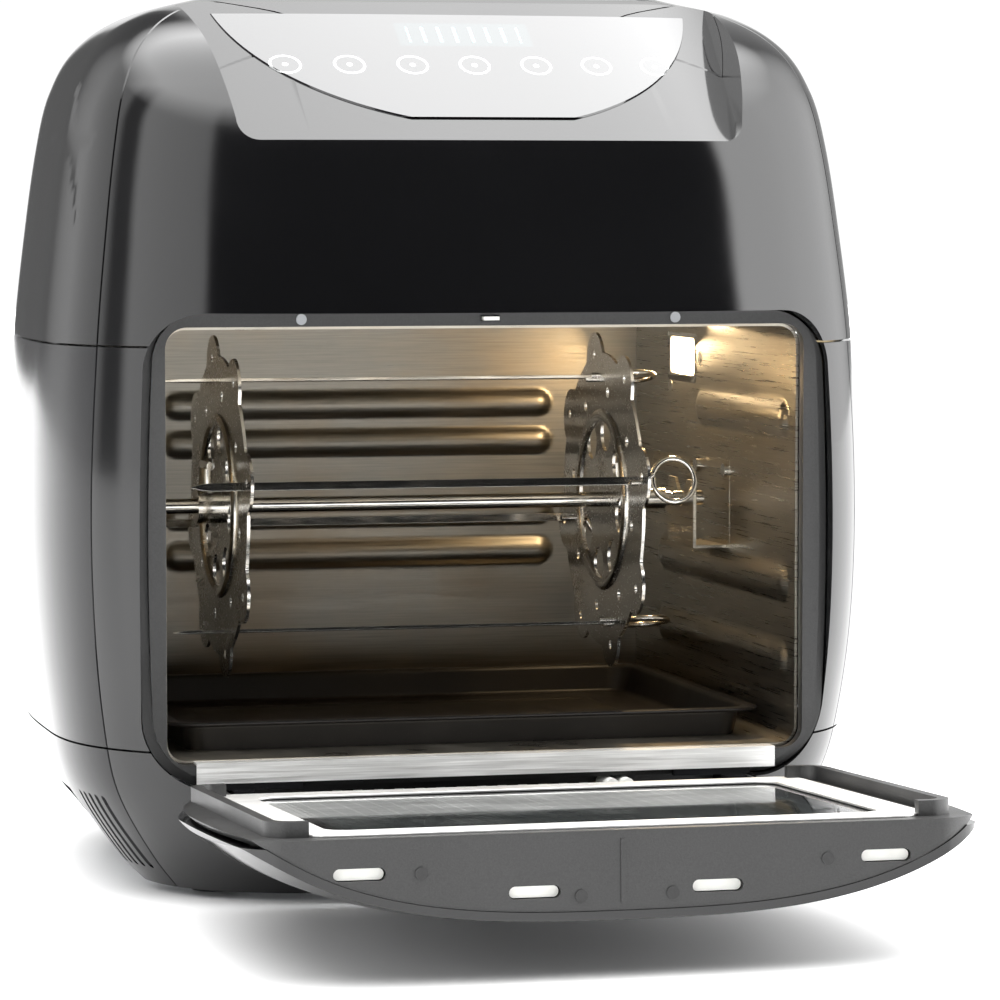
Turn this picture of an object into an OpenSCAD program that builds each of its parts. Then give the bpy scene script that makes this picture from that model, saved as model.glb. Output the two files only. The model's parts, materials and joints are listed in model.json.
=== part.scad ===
// Countertop rotisserie oven with a drop-down door, shown with the door open.
// Millimetres, +Z up, the door faces -Y. The origin is on the table under the middle of the whole
// footprint, open door included. Door parts are drawn shut and then swung open about the hinge.

/* [Casing] */
// Height at which the base meets the side panels
low_seam_z = 58.5; // [57:0.5:60]
// Height at which the side panels meet the hood
high_seam_z = 208.5; // [207:0.5:210]
// Thickness of the moulded casing walls
wall = 3; // [2.5:0.1:3.2]
// Gap left along every seam of the casing
seam_gap = 0.8; // [0.5:0.1:1]
// How far forward the vertical seam stands, as a share of the front bulge
seam_share = 0.59; // [0.56:0.01:0.62]
// Roundness of the front corners in plan
front_power = 2.9; // [2.8:0.05:3]
// Roundness of the rear corners in plan
rear_power = 2.9; // [2.7:0.05:3]

/* [Opening] */
// Half width of the door opening at mid height
opening_half = 133.6; // [133:0.1:134]
// Lowest height of the door opening
opening_low = 44; // [43.5:0.5:44.5]
// Highest height of the door opening
opening_high = 221; // [220:0.5:222]
// How much the sides of the opening bulge between its ends
opening_bulge = 3; // [2:0.5:3]
// Half width of the cooking space
cavity_half = 123; // [122:0.5:123]
// Floor of the cooking space
cavity_low = 53.5; // [53:0.5:54]
// Ceiling of the cooking space
cavity_high = 215.5; // [215:0.5:216]
// Place of the flat frame around the cooking space
frame_y = -55; // [-56:0.5:-54.5]
// Place of the rear wall of the cooking space
cavity_back = 172; // [170:1:174]

/* [Door] */
// Angle the door swings through from open to shut
door_swing = 87.7; // [86:0.1:89]
// Place of the hinge line, front to back
hinge_y = -62; // [-62.5:0.5:-61.5]
// Height of the hinge line
hinge_z = 38; // [37.5:0.5:38.5]
// Radius of the hinge pins
hinge_pin_r = 2.5; // [2:0.1:3]
// Running clearance of the hinge pins, on the radius
pin_clearance = 0.05; // [0.03:0.01:0.08]
// Place of the flat inner face of the shut door
door_inner_y = -56; // [-56.5:0.1:-55.8]
// Height of the lips on the inner face
lip_height = 5.4; // [4:0.2:5.6]

/* [Spit] */
// Place of the spit axis, front to back
spit_y = 58; // [56:1:60]
// Height of the spit axis
spit_z = 142; // [141:0.5:143]
// Radius of the notched discs
disc_r = 68; // [66:0.5:69]
// Place of the disc at the driven end
left_disc_x = -82; // [-84:1:-80]
// Place of the disc at the bracket end
right_disc_x = 75; // [73:1:77]
// Number of skewers round the spit
skewer_count = 4; // [2:1:8]
// Distance of the skewers from the spit axis
skewer_r = 50; // [48:1:52]

/* [Hidden] */
$fn = 48;

// Casing stations from the floor up: height, half width, front and rear.
stations = [
    [0, 120, -50, 205],
    [15, 133, -60, 216],
    [39, 148.5, -74, 229],
    [58, 154.5, -81, 234],
    [100, 160, -88.5, 239],
    [150, 161.5, -90, 240],
    [208, 158.5, -87.5, 238],
    [250, 154, -81, 234],
    [285, 149, -73, 228],
    [305, 144, -63, 222],
    [322, 134, -44, 210],
    [334, 116, -12, 190],
    [341, 88, 22, 165]
];
last_station = len(stations) - 1;
top_z = stations[last_station][0];
plan_centre_y = 30;
plan_sides = 64;
eps = 0.01;
big = 600;

leg_low = 3;
arch_z = 13;
side_arch_z = 37;
arch_front = 9;
arch_back = 127;
pocket_half = 126;
crease_z = 284;
panel_slope = 34;
panel_half = 96;
opening_top_r = 22;
opening_low_r = 28;
arc_steps = 8;
side_steps = 8;
door_gap = 1.6;
trough_r = 19.5;
trough_half = 102;
sheet = 1.2;
liner_r = 8;
fan_y = 62;
guard_r = 86;
rod_r = 3;
disc_sheet = 1.2;
bead_r = 34;
petal_count = 8;
skewer_start = 168;
skewer_w = 3.2;
skewer_t = 1.2;
lamp_y = 103;
lamp_z = 198;
lamp_screw_places = [[lamp_y - 25, lamp_z], [lamp_y + 17, lamp_z - 13]];
cover_t = 2.2;
window_half = 96;
window_low = 72;
window_high = 196;
arm_x = 86;
lug_x = 95;
band_z = 218.2;
switch_half = 9.5;
plunger_out = 2.6;
back_seam_y = 200;
grille_low = 150;
grille_high = 196;
vent_count = 5;
vent_y = -18.3;
vent_z = 24.5;
vent_pitch = 5.2;
vent_lean = 9.8;
spacer_end = 244.3;
spacer_x = 70;
spacer_z = 120;
gland_x = 70;
gland_z = 84;
gland_bore_r = 3.6;
tray_half = 117;
tray_front = -28;
tray_back = 150;
tray_low = cavity_low;
tray_rim = 66;
return_t = 2.4;
floor_z = arch_z + 3;
plate_screw_x = 90;
bumper_z = 41.5;
cover_gap = 0.6;
door_top_z = opening_high - door_gap - cover_gap;
door_screw_places = [[-71, -68.3], [-16, -77.8], [16, -77.8], [71, -68.3]];

// ---- Casing form ----

function clamp_index(i) = max(0, min(last_station, i));
function slope_at(i, c) =
    let (a = stations[clamp_index(i - 1)], b = stations[clamp_index(i + 1)])
    (b[c] - a[c]) / (b[0] - a[0]);
function span_of(z) =
    max([for (i = [0:last_station - 1]) z >= stations[i][0] ? i : 0]);

// Smooth value of one station column at a height.
function station(z, c) =
    let (
        i = span_of(z),
        a = stations[i],
        b = stations[i + 1],
        h = b[0] - a[0],
        t = (z - a[0]) / h,
        t2 = t * t,
        t3 = t2 * t
    )
    (2 * t3 - 3 * t2 + 1) * a[c] + (t3 - 2 * t2 + t) * h * slope_at(i, c)
    + (3 * t2 - 2 * t3) * b[c] + (t3 - t2) * h * slope_at(i + 1, c);

// One point of the rounded plan at a height, moved in by an inset.
function plan_point(z, angle, inset) =
    let (
        c = cos(angle),
        s = sin(angle),
        n = s < 0 ? front_power : rear_power,
        reach = s < 0 ? plan_centre_y - station(z, 2) : station(z, 3) - plan_centre_y
    )
    [
        (station(z, 1) - inset) * sign(c) * pow(abs(c), 2 / n),
        plan_centre_y + (reach - inset) * sign(s) * pow(abs(s), 2 / n),
        z
    ];
function ring(z, inset) =
    [for (k = [0:plan_sides - 1]) plan_point(max(0, min(top_z, z)), 360 * k / plan_sides, inset)];
function raised(points, z) = [for (p = points) [p[0], p[1], z]];

module slice_pair(z0, z1, inset) {
    hull()
        polyhedron(
            points = concat(raised(ring(z0, inset), z0), raised(ring(z1, inset), z1)),
            faces = [
                [for (k = [0:plan_sides - 1]) k],
                [for (k = [0:plan_sides - 1]) plan_sides + k]
            ]
        );
}

// Solid body of the casing between two heights.
module casing_solid(z0, z1, steps, inset = 0) {
    for (k = [0:steps - 1])
        slice_pair(z0 + (z1 - z0) * k / steps, z0 + (z1 - z0) * (k + 1) / steps, inset);
}

// Open ring of casing wall between two heights.
module casing_ring(z0, z1, steps) {
    difference() {
        casing_solid(z0, z1, steps);
        casing_solid(z0 - 1, z1 + 1, steps, wall);
    }
}

// Everything in front of the vertical seam, which leans with the casing.
module ahead_of_seam(z0, z1, steps, shift = 0) {
    for (k = [0:steps - 1])
        hull()
            for (z = [z0 + (z1 - z0) * k / steps, z0 + (z1 - z0) * (k + 1) / steps]) {
                y = plan_centre_y - seam_share * (plan_centre_y - station(min(z, top_z), 2));
                translate([-big / 2, y - big + shift, z])
                    cube([big, big, eps]);
            }
}

// ---- Outlines seen from the front ----

function opening_side(z) =
    opening_half - opening_bulge * pow((z - (opening_low + opening_high) / 2)
    / ((opening_high - opening_low) / 2), 2);

// Right half of the door opening from the bottom up, grown by an amount.
function opening_points(grow) =
    let (
        zl = opening_low + opening_low_r,
        zh = opening_high - opening_top_r,
        rl = opening_low_r + grow,
        rh = opening_top_r + grow,
        xl = opening_side(zl) - opening_low_r,
        xh = opening_side(zh) - opening_top_r
    )
    concat(
        [for (k = [0:arc_steps]) let (a = -90 + 90 * k / arc_steps) [xl + rl * cos(a), zl + rl * sin(a)]],
        [for (k = [1:side_steps - 1]) let (z = zl + (zh - zl) * k / side_steps) [opening_side(z) + grow, z]],
        [for (k = [0:arc_steps]) let (a = 90 * k / arc_steps) [xh + rh * cos(a), zh + rh * sin(a)]]
    );
module opening_outline(grow = 0) {
    right = opening_points(grow);
    left = [for (k = [len(right) - 1:-1:0]) [-right[k][0], right[k][1]]];
    polygon(concat(right, left));
}
module rounded_rect(x0, z0, x1, z1, r) {
    translate([x0 + r, z0])
        square([x1 - x0 - 2 * r, z1 - z0]);
    translate([x0, z0 + r])
        square([x1 - x0, z1 - z0 - 2 * r]);
    for (x = [x0 + r, x1 - r], z = [z0 + r, z1 - r])
        translate([x, z])
            circle(r);
}

// Stands a front-view outline up and gives it depth from y0 back to y1.
module upright(y0, y1) {
    translate([0, y1, 0])
        rotate([90, 0, 0])
            linear_extrude(y1 - y0)
                children();
}
module along_x(x0, x1) {
    translate([x0, 0, 0])
        rotate([90, 0, 90])
            linear_extrude(x1 - x0)
                children();
}
module swung_open() {
    translate([0, hinge_y, hinge_z])
        rotate([door_swing, 0, 0])
            translate([0, -hinge_y, -hinge_z])
                children();
}
module x_rod(x0, x1, y, z, r) {
    translate([x0, y, z])
        rotate([0, 90, 0])
            cylinder(h = x1 - x0, r = r);
}
module y_rod(y0, y1, x, z, r) {
    translate([x, y0, z])
        rotate([-90, 0, 0])
            cylinder(h = y1 - y0, r = r);
}
module z_rod(z0, z1, x, y, r) {
    translate([x, y, z0])
        cylinder(h = z1 - z0, r = r);
}
module block(low, high) {
    translate(low)
        cube(high - low);
}

// ---- Casing ----

// Wall that runs from the casing's face back to the frame round the opening.
module opening_return(z0, z1, steps) {
    intersection() {
        casing_solid(z0, z1, steps);
        upright(-big, frame_y + 5)
            difference() {
                opening_outline(return_t);
                opening_outline();
            }
    }
}

// Prism whose sloping front is the control panel, following the curve of the casing's front.
module panel_block(shift) {
    plan = [for (p = ring(crease_z, 0)) [p[0], p[1]]];
    rise = 1 / tan(panel_slope);
    translate([0, shift, 0])
        multmatrix([[1, 0, 0, 0], [0, 1, rise, 0], [0, 0, 1, 0], [0, 0, 0, 1]])
            translate([0, -crease_z * rise, crease_z - 30])
                linear_extrude(160)
                    polygon(plan);
}

// Space cut in front of the sloping control panel, made larger by grow for the inside of the wall.
module panel_cut(grow = 0) {
    low = crease_z + 0.3 - 6 * grow;
    half = panel_half + grow;
    intersection() {
        difference() {
            block([-big / 2, -big, crease_z - 29], [big / 2, 100, 400]);
            panel_block(1.8 * grow);
        }
        upright(-big, 90)
            polygon([
                [-half + 6, low], [half - 6, low], [half + 1, low + 8], [half + 16, 370],
                [-half - 16, 370], [-half - 1, low + 8]
            ]);
    }
}
module hood_shell() {
    difference() {
        casing_solid(high_seam_z + seam_gap / 2, top_z, 12);
        panel_cut();
        difference() {
            casing_solid(high_seam_z - 1, top_z - wall, 12, wall);
            panel_cut(wall);
        }
    }
}
module hood_front() {
    color("#1b1c1e")
        union() {
            difference() {
                intersection() {
                    hood_shell();
                    ahead_of_seam(high_seam_z - 1, top_z + 1, 10, -seam_gap / 2);
                }
                upright(-big, frame_y + 8)
                    opening_outline();
            }
            opening_return(high_seam_z + seam_gap / 2, opening_high + return_t + 1, 3);
        }
}
module hood_cover() {
    color("#1b1c1e")
        difference() {
            hood_shell();
            ahead_of_seam(high_seam_z - 1, top_z + 1, 10, seam_gap / 2);
            for (x = [-60:12:60])
                block([x - 3, 200, 262], [x + 3, 260, 290]);
        }
}
module side_wall_ring() {
    casing_ring(low_seam_z + seam_gap / 2, high_seam_z - seam_gap / 2, 8);
}
module column(side) {
    intersection() {
        union() {
            difference() {
                side_wall_ring();
                upright(-big, frame_y + 8)
                    opening_outline();
            }
            opening_return(low_seam_z + seam_gap / 2, high_seam_z - seam_gap / 2, 8);
        }
        ahead_of_seam(low_seam_z - 1, high_seam_z + 1, 8, -seam_gap / 2);
        block([side > 0 ? 0 : -big / 2, -big, 0], [side > 0 ? big / 2 : 0, big, 400]);
    }
}
module left_column() {
    color("#4c4d4c")
        column(-1);
}
module right_column() {
    color("#4c4d4c")
        column(1);
}
module side_panel(side) {
    difference() {
        intersection() {
            side_wall_ring();
            block([side > 0 ? 0 : -big / 2, -big, 0], [side > 0 ? big / 2 : 0, back_seam_y, 400]);
        }
        ahead_of_seam(low_seam_z - 1, high_seam_z + 1, 8, seam_gap / 2);
    }
}
module left_side_panel() {
    color("#3c3d3d")
        side_panel(-1);
}
module right_side_panel() {
    color("#3c3d3d")
        side_panel(1);
}
module back_panel() {
    color("#3c3d3d")
        difference() {
            intersection() {
                side_wall_ring();
                block([-big / 2, back_seam_y + seam_gap, 0], [big / 2, big, 400]);
            }
            block([-56, 200, grille_low], [56, 260, grille_high]);
            y_rod(200, 260, gland_x, gland_z, 9);
            for (x = [-spacer_x, spacer_x])
                y_rod(200, 260, x, spacer_z, 7);
        }
}
module base_ring() {
    difference() {
        casing_ring(leg_low, low_seam_z - seam_gap / 2, 6);
        upright(-big, big)
            polygon([[-62, -5], [62, -5], [52, arch_z], [-52, arch_z]]);
        along_x(-big, big)
            polygon([
                [-2, -5], [130, -5], [arch_back, 20], [arch_back - 14, side_arch_z],
                [arch_front + 12, side_arch_z], [arch_front, 26], [arch_front, 9]
            ]);
    }
}
module base_front() {
    color("#232425")
        difference() {
            union() {
                intersection() {
                    base_ring();
                    ahead_of_seam(0, low_seam_z + 1, 5, -seam_gap / 2);
                }
                opening_return(opening_low - return_t, low_seam_z - seam_gap / 2, 2);
            }
            upright(-big, frame_y + 8)
                opening_outline();
            x_rod(-trough_half - 0.4, trough_half + 0.4, hinge_y, hinge_z, trough_r + 2.2);
        }
}
module base_rear() {
    color("#232425")
        difference() {
            base_ring();
            ahead_of_seam(0, low_seam_z + 1, 5, seam_gap / 2);
            for (k = [0:vent_count - 1])
                translate([0, vent_y + vent_pitch * k, vent_z])
                    rotate([vent_lean, 0, 0])
                        block([-big / 2, -1.2, -14.5], [big / 2, 1.2, 14.5]);
        }
    color("#232425")
        leg_pockets();
}
// Closed recess between the front and rear leg on each side.
module leg_pockets() {
    intersection() {
        casing_solid(floor_z + 1.7, side_arch_z + 3, 4);
        difference() {
            block([-big / 2, arch_front - 2, 0], [big / 2, arch_back + 2, big]);
            block([-pocket_half, -big, -1], [pocket_half, big, big + 1]);
            for (side = [-1, 1])
                translate([side * (pocket_half + 2 + big / 2), 0, 0])
                    block([-big / 2, arch_front, -1], [big / 2, arch_back, side_arch_z + 1]);
        }
    }
}
module bottom_plate() {
    color("#3a3b3c")
        difference() {
            intersection() {
                translate([0, 0, floor_z])
                    linear_extrude(1.5)
                        polygon([for (p = ring(floor_z, wall + 0.6)) [p[0], p[1]]]);
                block([-big / 2, -50, 0], [big / 2, big, 40]);
            }
            for (x = [-60:15:60], y = [60, 100])
                z_rod(0, 40, x, y, 3);
            for (x = [-plate_screw_x, plate_screw_x], y = [20, 170])
                z_rod(0, 40, x, y, 1.8);
        }
}
function foot_x(front) = front ? 96 : 92;
function foot_y(front) = front ? -6 : 150;
module foot(x, y) {
    z_rod(0, leg_low + 1, x, y, 9);
    z_rod(leg_low + 1, floor_z, x, y, 6.5);
}
module front_feet() {
    color("#161616")
        for (x = [-foot_x(true), foot_x(true)])
            foot(x, foot_y(true));
}
module rear_feet() {
    color("#161616")
        for (x = [-foot_x(false), foot_x(false)])
            foot(x, foot_y(false));
}
// Rear face of the casing at the far edge of a spacer, at spacer height.
function rear_face(x) =
    plan_centre_y + (station(spacer_z, 3) - plan_centre_y)
    * pow(1 - pow((abs(x) + 7) / station(spacer_z, 1), rear_power), 1 / rear_power) - 1;
module rear_spacers() {
    color("#161616")
        for (x = [-spacer_x, spacer_x])
            y_rod(rear_face(x), spacer_end, x, spacer_z, 7);
}
module display_glass() {
    color("#0b0c0e")
        intersection() {
            difference() {
                panel_block(-1.2);
                panel_block(0);
            }
            z_rod(crease_z + 9, top_z - 8, 0, 30, 96);
        }
}

// ---- Front of the cooking space ----

module opening_frame() {
    color("#4a4b49")
        difference() {
            union() {
                upright(frame_y, frame_y + 5)
                    union() {
                        opening_outline(-4);
                        translate([0, 3.6])
                            opening_outline(-4);
                    }
                upright(frame_y + 3, frame_y + 5)
                    opening_outline(-0.4);
            }
            upright(frame_y - 1, frame_y + 6)
                rounded_rect(-cavity_half, cavity_low, cavity_half, cavity_high, liner_r);
            block([-3.6, frame_y - 20, band_z - 1.2], [3.6, 0, band_z + 1.2]);
            for (x = [-72, 72])
                y_rod(-80, 0, x, band_z, 1.3);
        }
}
module frame_screws() {
    color("#c9c9c6")
        for (x = [-72, 72])
            union() {
                y_rod(frame_y - 0.5, frame_y, x, band_z, 2);
                y_rod(frame_y, frame_y + 9, x, band_z, 1.3);
            }
}
module sill_plate() {
    color("#b7b8b4")
        along_x(-112, 112)
            polygon([
                [frame_y - 0.5, 46.5], [frame_y, 46.5], [frame_y, cavity_low], [frame_y + 6, cavity_low],
                [frame_y + 6, cavity_low + 0.8], [frame_y - 0.5, cavity_low + 0.8]
            ]);
}
// Rounded recess that the lower edge of the door swings through.
module hinge_trough() {
    color("#1d1e1f")
        difference() {
            intersection() {
                union() {
                    along_x(-trough_half, trough_half)
                        difference() {
                            translate([hinge_y, hinge_z])
                                circle(trough_r + 2);
                            translate([hinge_y, hinge_z])
                                circle(trough_r);
                        }
                    for (x = [0.2 - trough_half, trough_half - sheet - 0.2])
                        x_rod(x, x + sheet, hinge_y, hinge_z, trough_r + 1);
                }
                casing_solid(leg_low, opening_low - 0.5, 5);
            }
            for (x = [-56:8:56])
                block([x - 2, -50, 36], [x + 2, -30, 41]);
        }
}
module hinge_block(side) {
    x0 = side > 0 ? lug_x - 4 : -lug_x - 4;
    difference() {
        union() {
            block([x0, hinge_y, hinge_z - 4], [x0 + 8, -43.6, hinge_z + 6.1]);
            x_rod(x0, x0 + 8, hinge_y, hinge_z, 5);
            block([side * (lug_x - 8) - 15, -55.4, opening_low], [side * (lug_x - 8) + 15, -52.2, 46.3]);
        }
        x_rod(x0 - 20, x0 + 28, hinge_y, hinge_z, hinge_pin_r + pin_clearance);
    }
}
module left_hinge_block() {
    color("#26272a")
        hinge_block(-1);
}
module right_hinge_block() {
    color("#26272a")
        hinge_block(1);
}

// ---- Cooking space ----

module cavity_liner() {
    color("#8e8a7e")
        difference() {
            union() {
                upright(frame_y + 6, cavity_back + sheet)
                    rounded_rect(
                        -cavity_half - sheet, cavity_low - sheet,
                        cavity_half + sheet, cavity_high + sheet, liner_r + sheet
                    );
            }
            difference() {
                upright(frame_y, cavity_back)
                    rounded_rect(-cavity_half, cavity_low, cavity_half, cavity_high, liner_r);
                for (side = [-1, 1], z = [85, 115, 178])
                    shelf_rib(side, z);
            }
            z_rod(cavity_high - 2, cavity_high + 5, 0, fan_y, guard_r - 4);
            x_rod(-cavity_half - 5, -cavity_half + 5, spit_y, spit_z, 9);
            block([cavity_half - 3, lamp_y - 19, lamp_z - 9], [cavity_half + 3, lamp_y + 19, lamp_z + 9]);
            for (p = lamp_screw_places)
                x_rod(cavity_half - 1, cavity_half + 3, p[0], p[1], 1.4);
        }
}
// Pressed rib that carries a rack.
module shelf_rib(side, z) {
    along_x(side > 0 ? cavity_half - 1.5 : -cavity_half, side > 0 ? cavity_half : -cavity_half + 1.5)
        rounded_rect(-34, z - 3, 100, z + 3, 2.9);
}
module element_guard() {
    color("#9a9a98")
        difference() {
            z_rod(cavity_high - 1.2, cavity_high, 0, fan_y, guard_r);
            for (r = [18:11:73], a = [0:45:315])
                rotate_about_fan(a)
                    guard_slot(r);
        }
}
module rotate_about_fan(a) {
    translate([0, fan_y, 0])
        rotate([0, 0, a])
            children();
}
module guard_slot(r) {
    translate([0, 0, cavity_high - 3])
        rotate_extrude(angle = 34)
            translate([r, 0])
                square([6, 5]);
}
module heating_element() {
    color("#5f5a55")
        union() {
            for (r = [52, 74])
                translate([0, fan_y, cavity_high + 8])
                    rotate_extrude()
                        translate([r, 0])
                            circle(3.2);
            x_rod(52, 74, fan_y, cavity_high + 8, 3);
            for (x = [50, 76])
                z_rod(cavity_high + 8, cavity_high + 34, x, fan_y, 3);
        }
}
module air_shield() {
    color("#8f8f8c")
        difference() {
            union() {
                block([-104, fan_y - 96, cavity_high + 32], [104, fan_y + 96, cavity_high + 33.2]);
                translate([0, fan_y, cavity_high + sheet])
                    linear_extrude(31)
                        difference() {
                            circle(96);
                            circle(95);
                        }
            }
            z_rod(cavity_high, cavity_high + 50, 0, fan_y, 5);
            for (x = [50, 76])
                z_rod(cavity_high + 10, cavity_high + 50, x, fan_y, 3.4);
        }
}
module fan_wheel(z, r, blades, blade_h) {
    difference() {
        union() {
            z_rod(z, z + 1, 0, fan_y, r);
            z_rod(z, z + blade_h, 0, fan_y, 6);
            for (k = [0:blades - 1])
                translate([0, fan_y, z])
                    rotate([0, 0, 360 * k / blades])
                        block([7, -0.6, 0.5], [r - 1, 0.6, blade_h]);
        }
        z_rod(z - 1, z + blade_h + 1, 0, fan_y, 3);
    }
}
module convection_fan() {
    color("#9c9c9a")
        fan_wheel(cavity_high + 16, 44, 8, 11);
}
module cooling_fan() {
    color("#2c2c2d")
        fan_wheel(cavity_high + 84, 38, 10, 12);
}
module fan_shaft() {
    color("#c2c2c0")
        z_rod(cavity_high + 13, cavity_high + 100, 0, fan_y, 3);
}
module fan_motor() {
    color("#77787a")
        difference() {
            union() {
                z_rod(cavity_high + 46, cavity_high + 78, 0, fan_y, 30);
                z_rod(cavity_high + 41, cavity_high + 46, 0, fan_y, 9);
            }
            z_rod(cavity_high + 35, cavity_high + 85, 0, fan_y, 3.05);
        }
}
module motor_bracket() {
    color("#9b9c9c")
        difference() {
            union() {
                block([-70, fan_y - 12, cavity_high + 44.8], [70, fan_y + 12, cavity_high + 46]);
                for (x = [-70, 68.8])
                    block([x, fan_y - 12, cavity_high + 33.2], [x + 1.2, fan_y + 12, cavity_high + 46]);
            }
            z_rod(cavity_high + 30, cavity_high + 60, 0, fan_y, 9);
        }
}

// ---- Lamp ----

module lamp_window() {
    color([1, 0.93, 0.7, 0.6])
        block([cavity_half + 0.2, lamp_y - 19, lamp_z - 9], [cavity_half + 3.2, lamp_y + 19, lamp_z + 9]);
}
module lamp_holder() {
    color("#a9a9a5")
        difference() {
            block([cavity_half + 3.2, lamp_y - 21, lamp_z - 11], [cavity_half + 24, lamp_y + 21, lamp_z + 11]);
            block([cavity_half + 3, lamp_y - 19, lamp_z - 9], [cavity_half + 22, lamp_y + 19, lamp_z + 9]);
            y_rod(lamp_y - 22, lamp_y - 18, cavity_half + 12, lamp_z, 5.1);
        }
}
module lamp_bulb() {
    color([1, 0.95, 0.8, 0.7])
        union() {
            y_rod(lamp_y - 30, lamp_y - 12, cavity_half + 12, lamp_z, 5);
            translate([cavity_half + 12, lamp_y - 4, lamp_z])
                sphere(8);
        }
}
module lamp_screws() {
    color("#d5d5d0")
        for (p = lamp_screw_places)
            union() {
                x_rod(cavity_half - 1.2, cavity_half, p[0], p[1], 2.6);
                x_rod(cavity_half, cavity_half + sheet, p[0], p[1], 1.4);
            }
}

// ---- Spit and its drive ----

module spit_motor() {
    color("#8d8e90")
        difference() {
            union() {
                block([-150, spit_y - 24, spit_z - 24], [-127, spit_y + 24, spit_z + 24]);
                for (y = [spit_y - 18, spit_y + 18], z = [spit_z - 18, spit_z + 18])
                    x_rod(-127.5, -cavity_half - sheet, y, z, 3);
            }
            x_rod(-140, -120, spit_y, spit_z, 3.55);
        }
}
module drive_socket() {
    color("#b9bab8")
        difference() {
            union() {
                x_rod(-138, -126, spit_y, spit_z, 3.5);
                x_rod(-126, -112, spit_y, spit_z, 8);
            }
            block([-122, spit_y - 3.3, spit_z - 3.3], [-100, spit_y + 3.3, spit_z + 3.3]);
        }
}
module spit_bracket() {
    color("#6d675c")
        difference() {
            union() {
                block([cavity_half - 1.2, 36, 122], [cavity_half, 82, 158]);
                along_x(cavity_half - 15, cavity_half - 13.8)
                    difference() {
                        translate([40, 124])
                            square([36, 26]);
                        translate([spit_y, spit_z])
                            circle(rod_r + 0.4);
                        translate([spit_y, spit_z - 0.4])
                            rotate(45)
                                square([40, 40]);
                    }
                block([cavity_half - 15, 40, 122.8], [cavity_half, 76, 124]);
            }
            for (y = [40.5, 79])
                x_rod(cavity_half - 3, cavity_half + 1, y, 154, 1.5);
        }
}
module bracket_screws() {
    color("#d5d5d0")
        for (y = [40.5, 79])
            union() {
                x_rod(cavity_half - 2.6, cavity_half - 1.2, y, 154, 2.8);
                x_rod(cavity_half - 1.2, cavity_half, y, 154, 1.5);
            }
}
module spit_rod() {
    color("#bdbdb9")
        difference() {
            union() {
                x_rod(-112, 117, spit_y, spit_z, rod_r);
                block([-121, spit_y - 3, spit_z - 3], [-111.5, spit_y + 3, spit_z + 3]);
                x_rod(90, 101, spit_y, spit_z, 4.2);
            }
            for (x = [103.5, 113])
                difference() {
                    x_rod(x, x + 1.2, spit_y, spit_z, rod_r + 1);
                    x_rod(x - 1, x + 3, spit_y, spit_z, rod_r - 0.6);
                }
        }
}
function skewer_angle(k) = skewer_start + 360 * k / skewer_count;
// Notched sheet disc, drawn flat and then stood across the spit.
module disc_outline() {
    difference() {
        union() {
            circle(disc_r - 9);
            for (k = [0:petal_count - 1])
                rotate(360 * k / petal_count + skewer_start)
                    translate([disc_r - 12, 0])
                        circle(12);
        }
        circle(rod_r + 0.02);
        for (k = [0:skewer_count - 1])
            rotate(skewer_angle(k))
                translate([skewer_r, 0])
                    square([skewer_t + 0.6, skewer_w + 0.6], center = true);
        for (k = [0:petal_count - 1])
            rotate(360 * (k + 0.5) / petal_count + skewer_start) {
                translate([27, 0])
                    circle(7);
                translate([44, 0])
                    circle(2.2);
            }
        for (k = [0:petal_count - 1])
            rotate(360 * k / petal_count + skewer_start)
                translate([disc_r - 9, 0])
                    circle(1.8);
    }
}
module spit_disc(x) {
    translate([x, spit_y, spit_z])
        rotate([90, 0, 90])
            union() {
                linear_extrude(disc_sheet)
                    disc_outline();
                rotate_extrude()
                    translate([bead_r, 0])
                        polygon([[-2.6, 0.5], [-2.6, -0.2], [-1, -1.6], [1, -1.6], [2.6, -0.2], [2.6, 0.5]]);
            }
}
module left_spit_disc() {
    color("#a8a498")
        spit_disc(left_disc_x);
}
module right_spit_disc() {
    color("#a8a498")
        spit_disc(right_disc_x);
}
// Flat skewer with a ring handle, lying along the spit.
module skewer() {
    block([left_disc_x - 20, -skewer_t / 2, -skewer_w / 2], [right_disc_x + 7, skewer_t / 2, skewer_w / 2]);
    translate([right_disc_x + 15, 0, 0])
        rotate([90, 0, 0])
            rotate_extrude()
                translate([8.6, 0])
                    circle(1.1);
}
module skewers() {
    color("#c9c9c5")
        for (k = [0:skewer_count - 1])
            translate([
                0,
                spit_y + skewer_r * cos(skewer_angle(k)),
                spit_z + skewer_r * sin(skewer_angle(k))
            ])
                rotate([skewer_angle(k), 0, 0])
                    skewer();
}
module collar(x) {
    difference() {
        x_rod(x, x + 9, spit_y, spit_z, 7);
        x_rod(x - 1, x + 10, spit_y, spit_z, rod_r);
    }
    z_rod(spit_z + 6.5, spit_z + 15, x + 4.5, spit_y, 2.2);
    y_rod(spit_y - 8, spit_y + 8, x + 4.5, spit_z + 16, 1.6);
}
module spit_collars() {
    color("#c4c4c0")
        union() {
            collar(right_disc_x + disc_sheet);
            collar(left_disc_x - 9);
        }
}
module drip_tray() {
    color("#141416")
        difference() {
            union() {
                translate([0, 0, tray_rim - 1.2])
                    linear_extrude(1.2)
                        rounded_rect(-tray_half, tray_front, tray_half, tray_back, 12);
                translate([0, 0, tray_low])
                    linear_extrude(tray_rim - tray_low)
                        rounded_rect(-tray_half + 5, tray_front + 5, tray_half - 5, tray_back - 5, 9);
            }
            translate([0, 0, tray_low + sheet])
                linear_extrude(20)
                    rounded_rect(-tray_half + 6.2, tray_front + 6.2, tray_half - 6.2, tray_back - 6.2, 8);
        }
}

// ---- Door, drawn shut ----

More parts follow.
